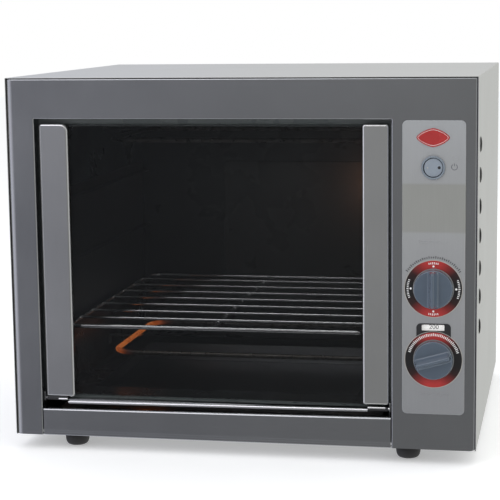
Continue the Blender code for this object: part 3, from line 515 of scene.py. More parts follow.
def lathe(profile, centre, n=64, axis="y", bore=False):
    rings = []
    for r, t in profile:
        ring = []
        for k in range(n):
            a = 2 * math.pi * k / n
            c, s = r * math.cos(a), r * math.sin(a)
            ring.append({"y": lambda: W(centre[0] + c, centre[1] + t, centre[2] + s),
                         "x": lambda: W(centre[0] + t, centre[1] + c, centre[2] + s),
                         "z": lambda: W(centre[0] + c, centre[1] + s, centre[2] + t)}[axis]())
        rings.append(ring)
    return loft(rings, close=bore)


def tube(points, radii, sides=20, closed=False, caps=True):
    if not isinstance(radii, (list, tuple)):
        radii = [radii] * len(points)
    pts = [Vector(p) for p in points]
    n = len(pts)
    rings, side = [], None
    for i, p in enumerate(pts):
        if closed:
            d0, d1 = (p - pts[i - 1]).normalized(), (pts[(i + 1) % n] - p).normalized()
        else:
            d0 = (pts[i] - pts[i - 1]).normalized() if i else (pts[1] - pts[0]).normalized()
            d1 = (pts[i + 1] - pts[i]).normalized() if i + 1 < n else d0
        d = (d0 + d1).normalized()
        if side is None:
            side = Vector((0, 0, 1)) if abs(d.z) < 0.5 else Vector((1, 0, 0))
        side = (side - d * side.dot(d)).normalized()
        up = d.cross(side)
        rings.append([W(*(p + (side * math.cos(2 * math.pi * k / sides) + up * math.sin(2 * math.pi * k / sides)) * radii[i])) for k in range(sides)])
    return loft(rings, close=closed, caps=caps)


def bend(corner, before, after, r, n=8):
    c, a, b = Vector(corner), Vector(before), Vector(after)
    u, w = (a - c).normalized(), (b - c).normalized()
    half = u.angle(w) / 2
    reach = r / math.tan(half)
    centre = c + (u + w).normalized() * (r / math.sin(half))
    p0, p1 = c + u * reach, c + w * reach
    return [centre + (p0 - centre).normalized().slerp((p1 - centre).normalized(), k / n) * r for k in range(n + 1)]


def route(corners, r, n=8):
    pts = [Vector(corners[0])]
    for i in range(1, len(corners) - 1):
        pts += bend(corners[i], corners[i - 1], corners[i + 1], r, n)
    return pts + [Vector(corners[-1])]


def hidden(name, parts):
    me = bpy.data.meshes.new(name)
    bm = join(*parts)
    bm.to_mesh(me)
    bm.free()
    ob = bpy.data.objects.new(name, me)
    bpy.context.scene.collection.objects.link(ob)
    return ob


def boolean(ob, guide, how="DIFFERENCE"):
    """Cuts or joins at once, so that no helper is left in the scene."""
    keep = [m for m in ob.modifiers]
    m = ob.modifiers.new("cut", "BOOLEAN")
    m.operation, m.object, m.solver = how, guide, "EXACT"
    while ob.modifiers[0].name != m.name:
        ob.modifiers.move(len(ob.modifiers) - 1, 0)
    for k in keep:
        k.show_viewport = False
    dg = bpy.context.evaluated_depsgraph_get()
    me = bpy.data.meshes.new_from_object(ob.evaluated_get(dg), depsgraph=dg)
    old = ob.data
    me.name = old.name + "_cut"
    ob.modifiers.remove(m)
    for k in keep:
        k.show_viewport = True
    ob.data = me
    gm = guide.data
    bpy.data.objects.remove(guide, do_unlink=True)
    bpy.data.meshes.remove(gm)
    return ob


def quarter(r, n=5):
    """(inset, depth) pairs of a rounded edge, from its side to its face."""
    return [(r - r * math.cos(math.radians(90 * k / n)), r - r * math.sin(math.radians(90 * k / n))) for k in range(n + 1)]


def pad(outline, y_back, y_front, r, n=4):
    """Raised shape in the front plane: outline(d) gives its outline drawn in by d; its front edge is rounded."""
    rings = [[W(a, y_back, b) for a, b in outline(0)]]
    for inset, depth in quarter(r, n):
        rings.append([W(a, y_front + depth, b) for a, b in outline(inset)])
    return loft(rings)


# ================================================================ cabinet
def wrap_rings():
    r, n = 1.2, 6
    H, Wd, D = CAB_H, CAB_W, CAB_D

    def line(o, flange):
        q = max(r - o, 0.05)
        e = 15.0 if flange else max(r + 0.4, o + q + 0.2)
        half = [(e, o)]
        half += [(o + q - q * math.sin(math.radians(90 * k / n)), o + q - q * math.cos(math.radians(90 * k / n))) for k in range(n + 1)]
        half += [(o + q - q * math.cos(math.radians(90 * k / n)), H - o - q + q * math.sin(math.radians(90 * k / n))) for k in range(n + 1)]
        return half + [(Wd - x, z) for x, z in reversed(half)]

    def ring(y, o, t, flange=True):
        a, b = line(o, flange), line(t, flange)
        b[0], b[-1] = (a[0][0], b[0][1]), (a[-1][0], b[-1][1])
        return [W(x, y, z) for x, z in a] + [W(x, y, z) for x, z in reversed(b)]

    return ring


def outer_wrap():
    ring = wrap_rings()
    D, hem, sheet = CAB_D, 0.8, 0.8
    m = 0.3
    rings = []
    for k in range(7):
        t = math.radians(90 * k / 6)
        o = m * (1 - math.sin(t))
        rings.append(ring(m * (1 - math.cos(t)), o, hem - o, False))
    rings += [ring(8.4, 0, hem, False), ring(10.6, 0, sheet, False)]
    rings += [ring(11.0, 0, sheet), ring(70, 0, sheet), ring(D - 3.6, 0, sheet), ring(D - 3.3, 0, 10.0), ring(D - 2.35, 0, 10.0), ring(D - 2.2, 0, sheet + 0.15), ring(D - 0.6, 0.0, sheet), ring(D - 0.15, 0.12, sheet - 0.1), ring(D, 0.35, sheet - 0.3)]
    ob = put("cabinet_wrap", loft(rings), "cabinet", "brushed_steel", "outer_wrap", smooth=35)
    windows, scoops = [], []
    ym, a, L, h = 42.0, 9.6, 9.0, 2.2
    for zc in LOUVRE_Z:
        windows.append(box(CAB_W - 3, CAB_W + 0.3, ym - 1.0, ym + 1.5, zc - 6.4, zc + 6.4))
        scoops.append(scoop(ym, zc, a, L, h, 0.8))
    for x, z in SCREWS:
        windows.append(lathe([(2.2, D - 6), (2.2, D - 1.6)], (x, 0, z), 20))
    boolean(ob, hidden("louvre_windows", windows))
    boolean(ob, hidden("louvre_scoops", scoops), "UNION")
    ob.data.shade_smooth()
    ob.data.set_sharp_from_angle(angle=math.radians(35))
    return ob


def scoop(ym, zc, a, L, h, t):
    nu, nf = 22, 9
    X = CAB_W - 0.5

    def shell(s):
        rows = []
        for i in range(1, nu):
            u = math.pi * i / nu
            row = []
            for j in range(nf + 1):
                f = math.pi / 2 * j / nf
                row.append((ym + (L - s) * math.sin(u) * math.cos(f), zc - (a - s) * math.cos(u), (h + 0.5 - s) * math.sin(u) ** 0.75 * math.sin(f) ** 0.85))
            rows.append(row)
        return rows

    bm = bmesh.new()
    o = [[bm.verts.new(W(X + d, y, z)) for y, z, d in row] for row in shell(0)]
    i_ = [[bm.verts.new(W(X + d, y, z)) for y, z, d in row] for row in shell(t)]
    for i in range(nu - 2):
        for j in range(nf):
            bm.faces.new((o[i][j], o[i + 1][j], o[i + 1][j + 1], o[i][j + 1]))
            bm.faces.new((i_[i][j], i_[i][j + 1], i_[i + 1][j + 1], i_[i + 1][j]))
        bm.faces.new((o[i][nf], o[i + 1][nf], i_[i + 1][nf], i_[i][nf]))
        bm.faces.new((o[i][0], i_[i][0], i_[i + 1][0], o[i + 1][0]))
    for i, flip in ((0, False), (nu - 2, True)):
        for j in range(nf):
            f = (o[i][j], o[i][j + 1], i_[i][j + 1], i_[i][j])
            bm.faces.new(f if not flip else tuple(reversed(f)))
    return bm


def front_fascia():
    """One pressed sheet round the door opening: outer edges and the opening's edges roll back."""
    x0, x1, z1 = 0.95, CAB_W - 0.95, CAB_H - 1.0
    ox0, ox1, oz1 = OPEN_X[0], OPEN_X[1], OPEN_Z[1]
    R, r, t = 6.4, 1.6, 1.0       # outer roll at the sides, roll round the opening, sheet
    n, depth = 8, 2.9
    up_k, foot_k = 0.3, 0.0       # the top edge and the feet roll tighter than the sides

    def foot(o):
        return 0.02 + foot_k * min(o, R)

    def path(o):
        """Outer line drawn in by o, from the left leg's foot round to the right leg's."""
        ot, ob, ol, orr = o * up_k, foot(o), o * 1.15, o * 0.5
        ql, qr, qt = 1.2, 3.6, max(2.4 - 0.2 * o, 0.5)
        arc = lambda q, k: (q - q * math.sin(math.radians(90 * k / n)), q - q * math.cos(math.radians(90 * k / n)))
        pts = [(x0 + ol + arc(ql, k)[0], ob + arc(ql, k)[1]) for k in range(n + 1)]
        pts += [(x0 + ol + arc(qt, k)[1], z1 - ot - arc(qt, k)[0]) for k in range(n + 1)]
        pts += [(x1 - orr - arc(qt, k)[0], z1 - ot - arc(qt, k)[1]) for k in range(n + 1)]
        pts += [(x1 - orr - arc(qr, k)[1], ob + arc(qr, k)[0]) for k in range(n + 1)]
        return pts

    def inner(o, z):
        """Opening's line drawn out into the sheet by o, with as many points as the outer line."""
        q = 0.6 + o
        m = n + 1
        pts = [(ox0 - o, z + 0.001 * k) for k in range(m)]
        pts += [(ox0 - o + q - q * math.cos(math.radians(90 * k / n)), oz1 + o - q + q * math.sin(math.radians(90 * k / n))) for k in range(m)]
        pts += [(ox1 + o - q + q * math.sin(math.radians(90 * k / n)), oz1 + o - q + q * math.cos(math.radians(90 * k / n))) for k in range(m)]
        pts += [(ox1 + o, z + 0.001 * (m - 1 - k)) for k in range(m)]
        return pts

    rows = [(path(0), 10.0)]
    for k in range(n + 1):
        a = math.radians(90 * k / n)
        rows.append((path(R - R * math.cos(a)), FASCIA_Y + depth - depth * math.sin(a)))
    rows.append((path(R + 0.6), FASCIA_Y))
    rows.append((inner(r + 0.6, foot(R)), FASCIA_Y))
    for k in range(n + 1):
        a = math.radians(90 * k / n)
        rows.append((inner(r - r * math.sin(a), foot(R)), FASCIA_Y + r - r * math.cos(a)))
    rows.append((inner(0, foot(R)), FOLD))
    bm = bmesh.new()
    vs = [[bm.verts.new(W(x, y, z)) for x, z in row] for row, y in rows]
    for a, b in zip(vs, vs[1:]):
        for i in range(len(a) - 1):
            bm.faces.new((a[i], a[i + 1], b[i + 1], b[i]))
    bmesh.ops.remove_doubles(bm, verts=bm.verts, dist=1e-6)
    bmesh.ops.dissolve_degenerate(bm, edges=bm.edges, dist=1e-6)
    front = [f for f in bm.faces if abs(f.normal.y) > 0.99]
    bm.normal_update()
    big = max(bm.faces, key=lambda f: f.calc_area())
    bmesh.ops.recalc_face_normals(bm, faces=bm.faces)
    if big.normal.y > 0:
        bmesh.ops.reverse_faces(bm, faces=bm.faces)
    ob = put("front_fascia_panel", bm, "cabinet", "front_steel", "front_fascia", smooth=40, fix=False, weighted=False)
    s = ob.modifiers.new("sheet", "SOLIDIFY")
    s.thickness, s.offset, s.use_even_offset, s.use_rim = t / 1000, -1.0, True, True
    dg = bpy.context.evaluated_depsgraph_get()
    me = bpy.data.meshes.new_from_object(ob.evaluated_get(dg), depsgraph=dg)
    ob.modifiers.clear()
    ob.data = me
    cuts = [lathe([(12.6, -4), (12.6, 8)], (SWITCH[0], 0, SWITCH[1]), 48)]
    cuts += [lathe([(4.5, -4), (4.5, 8)], (k[0], 0, k[1]), 32) for k in (SELECTOR, THERMO)]
    cuts.append(box(WINDOW_X[0], WINDOW_X[1], -4, 8, WINDOW_Z[0], WINDOW_Z[1]))
    boolean(ob, hidden("fascia_openings", cuts))
    ob.data.shade_smooth()
    ob.data.set_sharp_from_angle(angle=math.radians(40))
    w = ob.modifiers.new("normals", "WEIGHTED_NORMAL")
    w.keep_sharp, w.weight = True, 80
    return ob


def feet():
    for name, x, y in (("front_left", 70.0, 32.0), ("front_right", 491.0, 32.0), ("rear_left", 70.0, 465.0), ("rear_right", 491.0, 465.0)):
        prof = [(6.0, 1.0), (14.4, 1.0), (14.8, 0.6), (15.0, 0.0), (15.0, -3.5), (14.6, -4.2), (14.6, -5.0), (15.0, -5.7), (15.0, -8.5)]
        prof += [(15.0 - 4.6 * (1 - math.cos(math.radians(a))), -8.5 - 9.0 * math.sin(math.radians(a))) for a in (12, 24, 36, 48, 60, 72, 82)]
        prof += [(9.6, -17.9), (8.0, -18.0), (6.5, -18.0), (6.0, -17.4), (4.2, -17.2)]
        put("foot_" + name + "_rubber", lathe(prof, (x, y, 0), 56, "z"), "cabinet", "rubber", "foot_" + name, smooth=45)


def rear_screws():
    for (x, z), name in zip(SCREWS, ("lower_left", "lower_right", "upper_left", "upper_right")):
        y = CAB_D - 1.0
        prof = [(1.9, -9.0), (1.9, 0.3), (3.6, 0.3), (3.8, 0.5), (3.8, 1.0), (3.5, 1.5), (2.9, 1.95), (2.1, 2.2), (1.0, 2.3)]
        ob = put("rear_cover_screw_" + name + "_head", lathe(prof, (x, y, z), 36), "cabinet", "zinc_steel", "rear_cover_screw_" + name, smooth=40, weighted=False)
        c = [box(x - 1.9, x + 1.9, y + 1.3, y + 4, z - 0.4, z + 0.4), box(x - 0.4, x + 0.4, y + 1.3, y + 4, z - 1.9, z + 1.9)]
        boolean(ob, hidden("recess_a", [c[0]]))
        boolean(ob, hidden("recess_b", [c[1]]))
        ob.data.shade_smooth()
        ob.data.set_sharp_from_angle(angle=math.radians(40))


# ================================================================ inside
def shelf():
    (x0, x1), (y0, y1), z = SHELF_X, SHELF_Y, SHELF_Z
    corners = [(x0, y0, z), (x1, y0, z), (x1, y1, z), (x0, y1, z)]
    ring = []
    for i, c in enumerate(corners):
        ring += bend(c, corners[i - 1], corners[(i + 1) % 4], 18.0, 14)
    parts = [tube(ring, 2.8, 24, closed=True)]
    for i in range(7):
        y = y0 + (y1 - y0) * (i + 1) / 8
        zz = z + 1.6
        parts.append(tube([(x0 - 0.6, y, zz), (x0 + 0.4, y, zz), (x1 - 0.4, y, zz), (x1 + 0.6, y, zz)], [1.2, 1.8, 1.8, 1.2], 18))
        for xs in (x0, x1):      # weld beads where a wire meets the frame
            parts.append(lathe([(0.3, -0.7), (1.5, -0.4), (2.0, 0.5), (1.5, 1.4), (0.3, 1.7)], (xs, y, z + 1.4), 12, "z"))
    xm = (x0 + x1) / 2 - 8
    parts.append(tube([(xm, y0 - 0.6, z - 1.1), (xm, y0 + 0.6, z - 1.1), (xm, y1 - 0.6, z - 1.1), (xm, y1 + 0.6, z - 1.1)], [1.6, 2.2, 2.2, 1.6], 20))
    put("shelf_wires", join(*parts), "shelf", "chrome_wire", "wire_shelf", smooth=50)


def elements():
    for name, z in (("lower", LOWER_Z), ("upper", UPPER_Z)):
        ya, yb = ELEMENT_Y
        path = route([(483.0, ya, z), (ELEMENT_X, ya, z), (ELEMENT_X, yb, z), (483.0, yb, z)], 28, 14)
        # short runs between the bends, so the sheath's surface can be followed by its scale
        fine = []
        for a, b in zip(path, path[1:]):
            k = max(1, int((b - a).length / 12))
            fine += [a.lerp(b, i / k) for i in range(k)]
        fine.append(path[-1])
        radii = [3.25 - 0.05 * (1 + math.sin(i * 1.7)) for i in range(len(fine))]
        # the sheath's finish carries a painted glow along part of its length
        put(name + "_element_sheath", tube(fine, radii, 22), "cabinet", name + "_sheath", name + "_element", smooth=60)


def rear_wall():
    """Pressed panel on the cavity's rear wall, with a rounded raised edge and two fixing screws."""
    def line(d):
        return rrect(176.0 + d, 436.0 - d, 96.0 + d, 306.0 - d, 9.0 - min(d, 5), 8)
    y = CAV_Y[1]
    rings = [[W(a, y - 0.1, b) for a, b in line(0)], [W(a, y - 0.8, b) for a, b in line(0.1)], [W(a, y - 1.6, b) for a, b in line(0.9)], [W(a, y - 1.6, b) for a, b in line(4.0)],
             [W(a, y - 1.3, b) for a, b in line(4.8)], [W(a, y - 1.1, b) for a, b in line(6.0)]]
    parts = [loft(rings)]
    for x, z in ((186, 201), (426, 201)):
        parts.append(lathe([(3.4, -1.0), (3.4, -2.2), (2.8, -3.0), (1.4, -3.4)], (x, y, z), 28))
    put("cavity_rear_panel", join(*parts), "cabinet", "panel_enamel", smooth=40)


def settle(bm, x0, x1, d0, d1, above):
    """A long pressed strip sits a little low at its left end and high at its right."""
    for v in bm.verts:
        if v.co.z > above / 1000:
            u = (v.co.x * 1000 - MX - x0) / (x1 - x0)
            v.co.z += (d0 + (d1 - d0) * u) / 1000


# ================================================================ door
def door():
    # glass: polished edges, rounded corners
    gx0, gx1, gz0, gz1 = DOOR_X[0] + 2.0, DOOR_X[1] - 2.0, 48.4, 389.6

    def ring(y, d):
        return [W(a, y, b) for a, b in rrect(gx0 + d, gx1 - d, gz0 + d, gz1 - d, (2, 3, 3, 2), 6)]

    bm = loft([ring(14.0, 0.5), ring(14.15, 0.15), ring(14.5, 0), ring(17.5, 0), ring(17.85, 0.15), ring(18.0, 0.5)])
    ob = put("door_glass_pane", bm, "door", ["tinted_glass", "glass_edge"], "door_glass", smooth=50)
    for p in ob.data.polygons:
        if abs(p.normal.y) < 0.5:
            p.material_index = 1

    def stile(name, edge, s, w, corners, R, zb):
        """Pressed channel: every front edge rounds over; the outer side returns behind the glass."""
        y0, yb, t = DOOR_Y[0], DOOR_Y[1], 1.2
        zt = DOOR_Z[1]

        def line(d):
            q = [max(c - d, 0.25) for c in corners]
            a0, a1 = (edge + d, edge + w - d) if s > 0 else (edge - w + d, edge - d)
            return rrect(a0, a1, zb + d, zt - d, q, 8)

        rings = [[W(a, 13.7, b) for a, b in line(0)]]
        rings += [[W(a, y0 + dep, b) for a, b in line(ins)] for ins, dep in quarter(R, 7)]
        shell = rings
        back = [[W(a, y0 + t + (R - t) - (R - t) * math.sin(math.radians(90 * k / 5)), b) for a, b in line(t + (R - t) - (R - t) * math.cos(math.radians(90 * k / 5)))] for k in reversed(range(6))]
        back.append([W(a, 13.7, b) for a, b in line(t)])
        bm = bmesh.new()
        front_v = [[bm.verts.new(p) for p in r_] for r_ in shell]
        back_v = [[bm.verts.new(p) for p in r_] for r_ in back]
        n = len(front_v[0])
        for seq in (front_v, back_v):
            for a, b in zip(seq, seq[1:]):
                for i in range(n):
                    j = (i + 1) % n
                    bm.faces.new((a[i], a[j], b[j], b[i]))
        bm.faces.new(front_v[-1])
        bm.faces.new(back_v[0])
        for i in range(n):
            j = (i + 1) % n
            bm.faces.new((front_v[0][i], front_v[0][j], back_v[-1][j], back_v[-1][i]))
        # return: outer wall past the glass and a lip behind it
        xe = lambda v: edge + s * v
        prof = [(xe(0), 13.5), (xe(0), yb - 0.8), (xe(0.25), yb - 0.2), (xe(0.8), yb), (xe(12), yb), (xe(12), yb - t), (xe(t), yb - t), (xe(t), 13.5)]
        lip = plate([prof], "xy", zb + 1.5, zt - (corners[2] if s > 0 else corners[1]) - 1.0)
        # the right stile takes the lighter copy of the stile steel, painted light
        put(name + "_channel", join(bm, lip), "door", "stile_steel" if s > 0 else "stile_right_steel", name, smooth=35)

    # corners: lower right, upper right, upper left, lower left
    stile("door_stile_left", DOOR_X[0], 1, 37.4, (4.0, 9.5, 4.4, 2.0), 3.4, 47.6)
    stile("door_stile_right", DOOR_X[1], -1, 32.0, (3.0, 3.4, 3.4, 3.0), 3.0, 50.6)

    # bottom rail: bright rolled lip above, recess, lower roll
    y0, yb, zb, zt = 8.5, 19.5, DOOR_Z[0], 50.0
    prof = [(10.6, zt - 0.02)]
    for k in range(1, 12):        # rolled lip, a bead
        a = math.radians(180 * k / 12)
        prof.append((10.5 - 1.8 * math.sin(a), zt - 1.7 + 1.65 * math.cos(a)))
    prof += [(10.7, zt - 3.5), (10.9, zt - 3.9), (10.9, zb + 0.9), (11.1, zb + 0.3), (11.7, zb)]
    prof += [(yb, zb), (yb, zt), (yb - 1, zt), (yb - 1, zb + 1), (14.0, zb + 1), (14.0, zt - 0.1)]
    bm = plate([prof], "yz", 66.3, 443.7)
    settle(bm, 66.3, 443.7, -2.8, 0.3, FOOT + zt - 4.2)
    for end, x0, x1, y, z in (("left", 54.0, 66.2, 8.1, 45.0), ("right", 443.8, 466.0, 8.3, 47.2)):
        radii = (0.7, 1.15, 1.3, 1.3, 1.15, 0.7)
        xs = (x0, x0 + 0.3, x0 + 0.9, x1 - 0.9, x1 - 0.3, x1)
        put("door_rail_end_" + end, tube([(x, y, z) for x in xs], list(radii), 24), "door", "rail_steel", smooth=50)
    put("door_bottom_rail_lip", bm, "door", "rail_steel", "door_bottom_rail", smooth=40)


# ================================================================ crumb tray
def tray():
    x0, x1 = OPEN_X[0] + 1.2, OPEN_X[1] - 0.9
    y = FASCIA_Y
    r, top = 2.6, OPEN_Z[0] - 0.2
    arc = lambda rr, ks: [(y + r - rr * math.cos(math.radians(90 * k / 7)), top - r + rr * math.sin(math.radians(90 * k / 7))) for k in ks]
    prof = [(y + 1.2, 0.05)]
    prof += [(y + 1.2 - 1.2 * math.sin(math.radians(90 * k / 5)), 0.05 + 1.2 * (1 - math.cos(math.radians(90 * k / 5)))) for k in range(1, 6)]
    for zc in (4.0, 6.6):         # two shallow pressed lines near the lower edge
        prof += [(y, zc - 0.8), (y + 0.1, zc - 0.35), (y + 0.14, zc), (y + 0.1, zc + 0.35), (y, zc + 0.8)]
    prof += arc(r, range(8)) + [(y + 10.6, top), (y + 11, top - 0.3), (y + 11, top - 0.9)] + arc(r - 1.0, reversed(range(8))) + [(y + 1, 1.3), (y + 9, 1.3), (y + 9, 0.3)]
    bm = bmesh.new()
    # the front is left straight: its bow is zero
    cols = 25
    place = []
    for i in range(cols):
        u = i / (cols - 1)
        x = x0 + (x1 - x0) * u
        bow = 0.0
        place.append([bm.verts.new(W(x, a + bow, b)) for a, b in prof])
    n = len(prof)
    for a, b in zip(place, place[1:]):
        for i in range(n):
            j = (i + 1) % n
            bm.faces.new((a[i], a[j], b[j], b[i]))
    tri = tessellate_polygon([[Vector((a, b, 0)) for a, b in prof]])
    for end in (place[0], place[-1]):
        for t in tri:
            bm.faces.new([end[k] for k in t])
    settle(bm, x0, x1, -2.2, 1.4, FOOT + 18)
    put("crumb_tray_front_panel", bm, "crumb_tray", "tray_front_steel", "crumb_tray_front", smooth=40)

    (a0, a1), (b0, b1), (c0, c1), t = (49.5, 458.5), (1.9, 436.0), (4.1, 30.0), 0.8

    def ring(g, z, r):
        return [W(a, b, z) for a, b in rrect(a0 + g, a1 - g, b0 + g, b1 - g, r, 8)]

    rings = [ring(0, c0 + 2.2, 6.8)]
    rings = []
    for k in range(5):            # outside, from the floor's edge up
        a = math.radians(90 * k / 4)
        rings.append(ring(2.2 * (1 - math.sin(a)), c0 + 2.2 * (1 - math.cos(a)), max(6.8 - 2.2 * (1 - math.sin(a)), 1)))
    rings += [ring(0, c1 - 0.3, 6.8), ring(0.15, c1, 6.6), ring(0.65, c1, 6.2), ring(t, c1 - 0.3, 6)]
    for k in reversed(range(5)):
        a = math.radians(90 * k / 4)
        rings.append(ring(t + 1.6 * (1 - math.sin(a)), c0 + t + 1.6 * (1 - math.cos(a)), max(6 - 1.6 * (1 - math.sin(a)), 1)))
    put("crumb_tray_pan_body", loft(rings), "crumb_tray", "tray_aluminium", "crumb_tray_pan", smooth=40)


# ================================================================ control panel
def control_panel():
    # plate with a lifted, rounded edge
    def rr(d):
        return rrect(PLATE_X[0] + d, PLATE_X[1] - d, PLATE_Z[0] + d, PLATE_Z[1] - d, 6.0 - d, 10)
    rings = [[W(a, 0.3, b) for a, b in rr(0.1)]]
    for inset, depth in quarter(0.8, 5):
        rings.append([W(a, -0.7 + depth * 0.9, b) for a, b in rr(inset)])
    rings.append([W(a, -0.6, b) for a, b in rr(1.5)])
    rings.append([W(a, -0.6, b) for a, b in rr(2.2)])
    ob = put("control_plate", loft(rings), "cabinet", "panel_overlay", "control_panel_plate", smooth=40)
    cuts = [lathe([(12.9, -6), (12.9, 6)], (SWITCH[0], 0, SWITCH[1]), 64)]
    cuts += [lathe([(5.0, -6), (5.0, 6)], (k[0], 0, k[1]), 40) for k in (SELECTOR, THERMO)]
    bm = loft([[W(a, t, b) for a, b in rrect(509.7, 537.0, 145.7, 153.2, 1.0, 5)] for t in (-6, 6)])
    cuts.append(bm)
    boolean(ob, hidden("plate_openings", cuts))
    ob.data.shade_smooth()
    ob.data.set_sharp_from_angle(angle=math.radians(40))
    put("scale_window_pane", pad(lambda d: rrect(WINDOW_X[0] + 0.4 + d, WINDOW_X[1] - 0.4 - d, WINDOW_Z[0] + 0.4 + d, WINDOW_Z[1] - 0.4 - d, max(0.8 - d, 0.2), 4), 1.8, 0.65, 0.2, 3), "cabinet", "clear_window", "scale_window", smooth=40)

    # dial rings
    for name, (kx, kz), mat in (("selector", SELECTOR, "selector_print"), ("thermostat", THERMO, "thermostat_print")):
        prof = [(24.4, -0.5), (24.4, -0.85), (24.7, -1.0), (33.4, -1.0), (33.7, -0.9), (33.8, -0.5)]
        bm = lathe(prof, (kx, 0, kz), 128, bore=True)
        put(name + "_dial_ring", bm, "cabinet", mat, smooth=40)
        prof = [(33.8, -0.5), (33.8, -1.0), (34.0, -1.12), (34.35, -1.12), (34.55, -0.95), (34.55, -0.5)]
        put(name + "_dial_rim", lathe(prof, (kx, 0, kz), 128, bore=True), "cabinet", "rim_lacquer", smooth=40)
        # marks on the ring: on the selector a dot and a short row of bars at each of four places, on the thermostat one
        # long row of bars
        parts = []

        def bar(a, ra, rb, hw, lift=-1.08):
            t = math.radians(90 - a)
            c, s = math.cos(t), math.sin(t)
            q = [(ra, -hw), (rb, -hw), (rb, hw), (ra, hw)]
            parts.append(plate([[(kx + u * c - v * s, kz + u * s + v * c) for u, v in q]], "xz", -0.95, lift))

        if name == "selector":
            for a in (0, 90, 180, 270):
                t = math.radians(90 - a)
                parts.append(lathe([(1.25, -0.95), (1.25, -1.08), (1.0, -1.16)], (kx + 26.9 * math.cos(t), 0, kz + 26.9 * math.sin(t)), 24))
                half = 10 if a % 180 == 0 else 20
                k = -half
                while k <= half:
                    bar(a + k, 29.4, 31.6 if round(k / 4) % 3 else 32.0, 0.42)
                    k += 4
        else:
            k = -72
            while k <= 72:
                bar(k, 28.6, 31.6 if round(k / 4) % 4 else 32.2, 0.45)
                k += 4
        put(name + "_dial_marks", join(*parts), "cabinet", "white_ink", smooth=30)
    # small ticks round the first dial
    parts = []
    kx, kz = SELECTOR
    for i, a in enumerate(range(-56, 57, 4)):
        t = math.radians(90 - a)
        c, s = math.cos(t), math.sin(t)
        L = 3.0 if i % 3 == 0 else 2.3
        q = [(36.4, -0.5), (36.4 + L, -0.5), (36.4 + L, 0.5), (36.4, 0.5)]
        parts.append(plate([[(kx + u * c - v * s, kz + u * s + v * c) for u, v in q]], "xz", -0.55, -0.68))
    put("selector_outer_ticks", join(*parts), "cabinet", "ink", smooth=30)

    # black tab over the thermostat's dial, with its window
    kx, kz = THERMO

    def tab(d):
        """Hump: sides rise from the ring and round over above the window."""
        top, half = 154.4 - d, 20.4 - d
        pts = []
        r0 = 33.0
        base = [(-half, math.sqrt(max(r0 ** 2 - half ** 2, 0)))]
        pts.append((kx - half, kz + math.sqrt(r0 ** 2 - half ** 2)))
        a0 = math.degrees(math.atan2(math.sqrt(r0 ** 2 - half ** 2), -half))
        a1 = 180 - a0
        for k in range(1, 16):
            a = math.radians(a0 + (a1 - a0) * k / 16)
            pts.append((kx + r0 * math.cos(a), kz + r0 * math.sin(a)))
        pts.append((kx + half, kz + math.sqrt(r0 ** 2 - half ** 2)))
        for cx, s in ((kx + half, 1), (kx - half, -1)):
            rng = range(9)
            arc = [(kx + s * (half - 5 + 5 * math.cos(math.radians(90 * k / 8))), top - 5 + 5 * math.sin(math.radians(90 * k / 8))) for k in rng]
            pts += arc if s > 0 else list(reversed(arc))
        return pts
    hole = rrect(509.9, 536.8, 145.9, 153.0, 0.8, 5)
    bm = plate([tab(0), list(reversed(hole))], "xz", -0.5, -1.05)
    put("scale_window_frame", bm, "cabinet", "ink", smooth=30, weighted=False)

    # badge: a plain red lozenge with rounded ends
    cx, cz = 522.6, 375.0
    def loz(d):
        pts = []
        n = 72
        for k in range(n):
            a = 2 * math.pi * k / n
            c, s = math.cos(a), math.sin(a)
            p = 1.45
            rr = (abs(c) ** p + abs(s) ** p) ** (-1 / p)
            pts.append((cx + (19.5 - d) * rr * c, cz + (11.0 - d) * rr * s))
        return pts
    put("panel_badge", pad(loz, -0.5, -1.5, 0.45, 4), "cabinet", "badge_red", smooth=40)
    inner = [[W(a, -1.45, b) for a, b in loz(1.6)], [W(a, -1.56, b) for a, b in loz(1.65)], [W(a, -1.56, b) for a, b in loz(1.95)], [W(a, -1.45, b) for a, b in loz(2.0)]]
    put("panel_badge_line", loft(inner, close=True), "cabinet", "white_ink", smooth=40)

    # standby mark beside the switch
    cx, cz, parts = 547.5, 340.7, []
    arc = [(cx + 3.4 * math.cos(math.radians(a)), -0.62, cz + 3.4 * math.sin(math.radians(a))) for a in range(125, 416, 10)]
    parts.append(tube(arc, 0.36, 10))
    parts.append(tube([(cx, -0.62, cz + 0.9), (cx, -0.62, cz + 4.3)], 0.36, 10))
    put("standby_mark", join(*parts), "cabinet", "grey_ink", smooth=50)

    # small raised dots in even rows, for finding the controls by touch
    parts = []
    def dots(x0, z0, cols, rows, step):
        for i in range(cols):
            for j in range(rows):
                parts.append(lathe([(0.75, -0.55), (0.7, -0.75), (0.5, -0.95), (0.25, -1.05)], (x0 + i * step, 0, z0 + j * step), 12))
    dots(546.0, 349.5, 3, 2, 2.6)
    dots(506.5, 250.5, 14, 2, 2.6)
    dots(507.5, 67.0, 14, 2, 2.6)
    put("raised_dots", join(*parts), "cabinet", "panel_overlay", smooth=60)


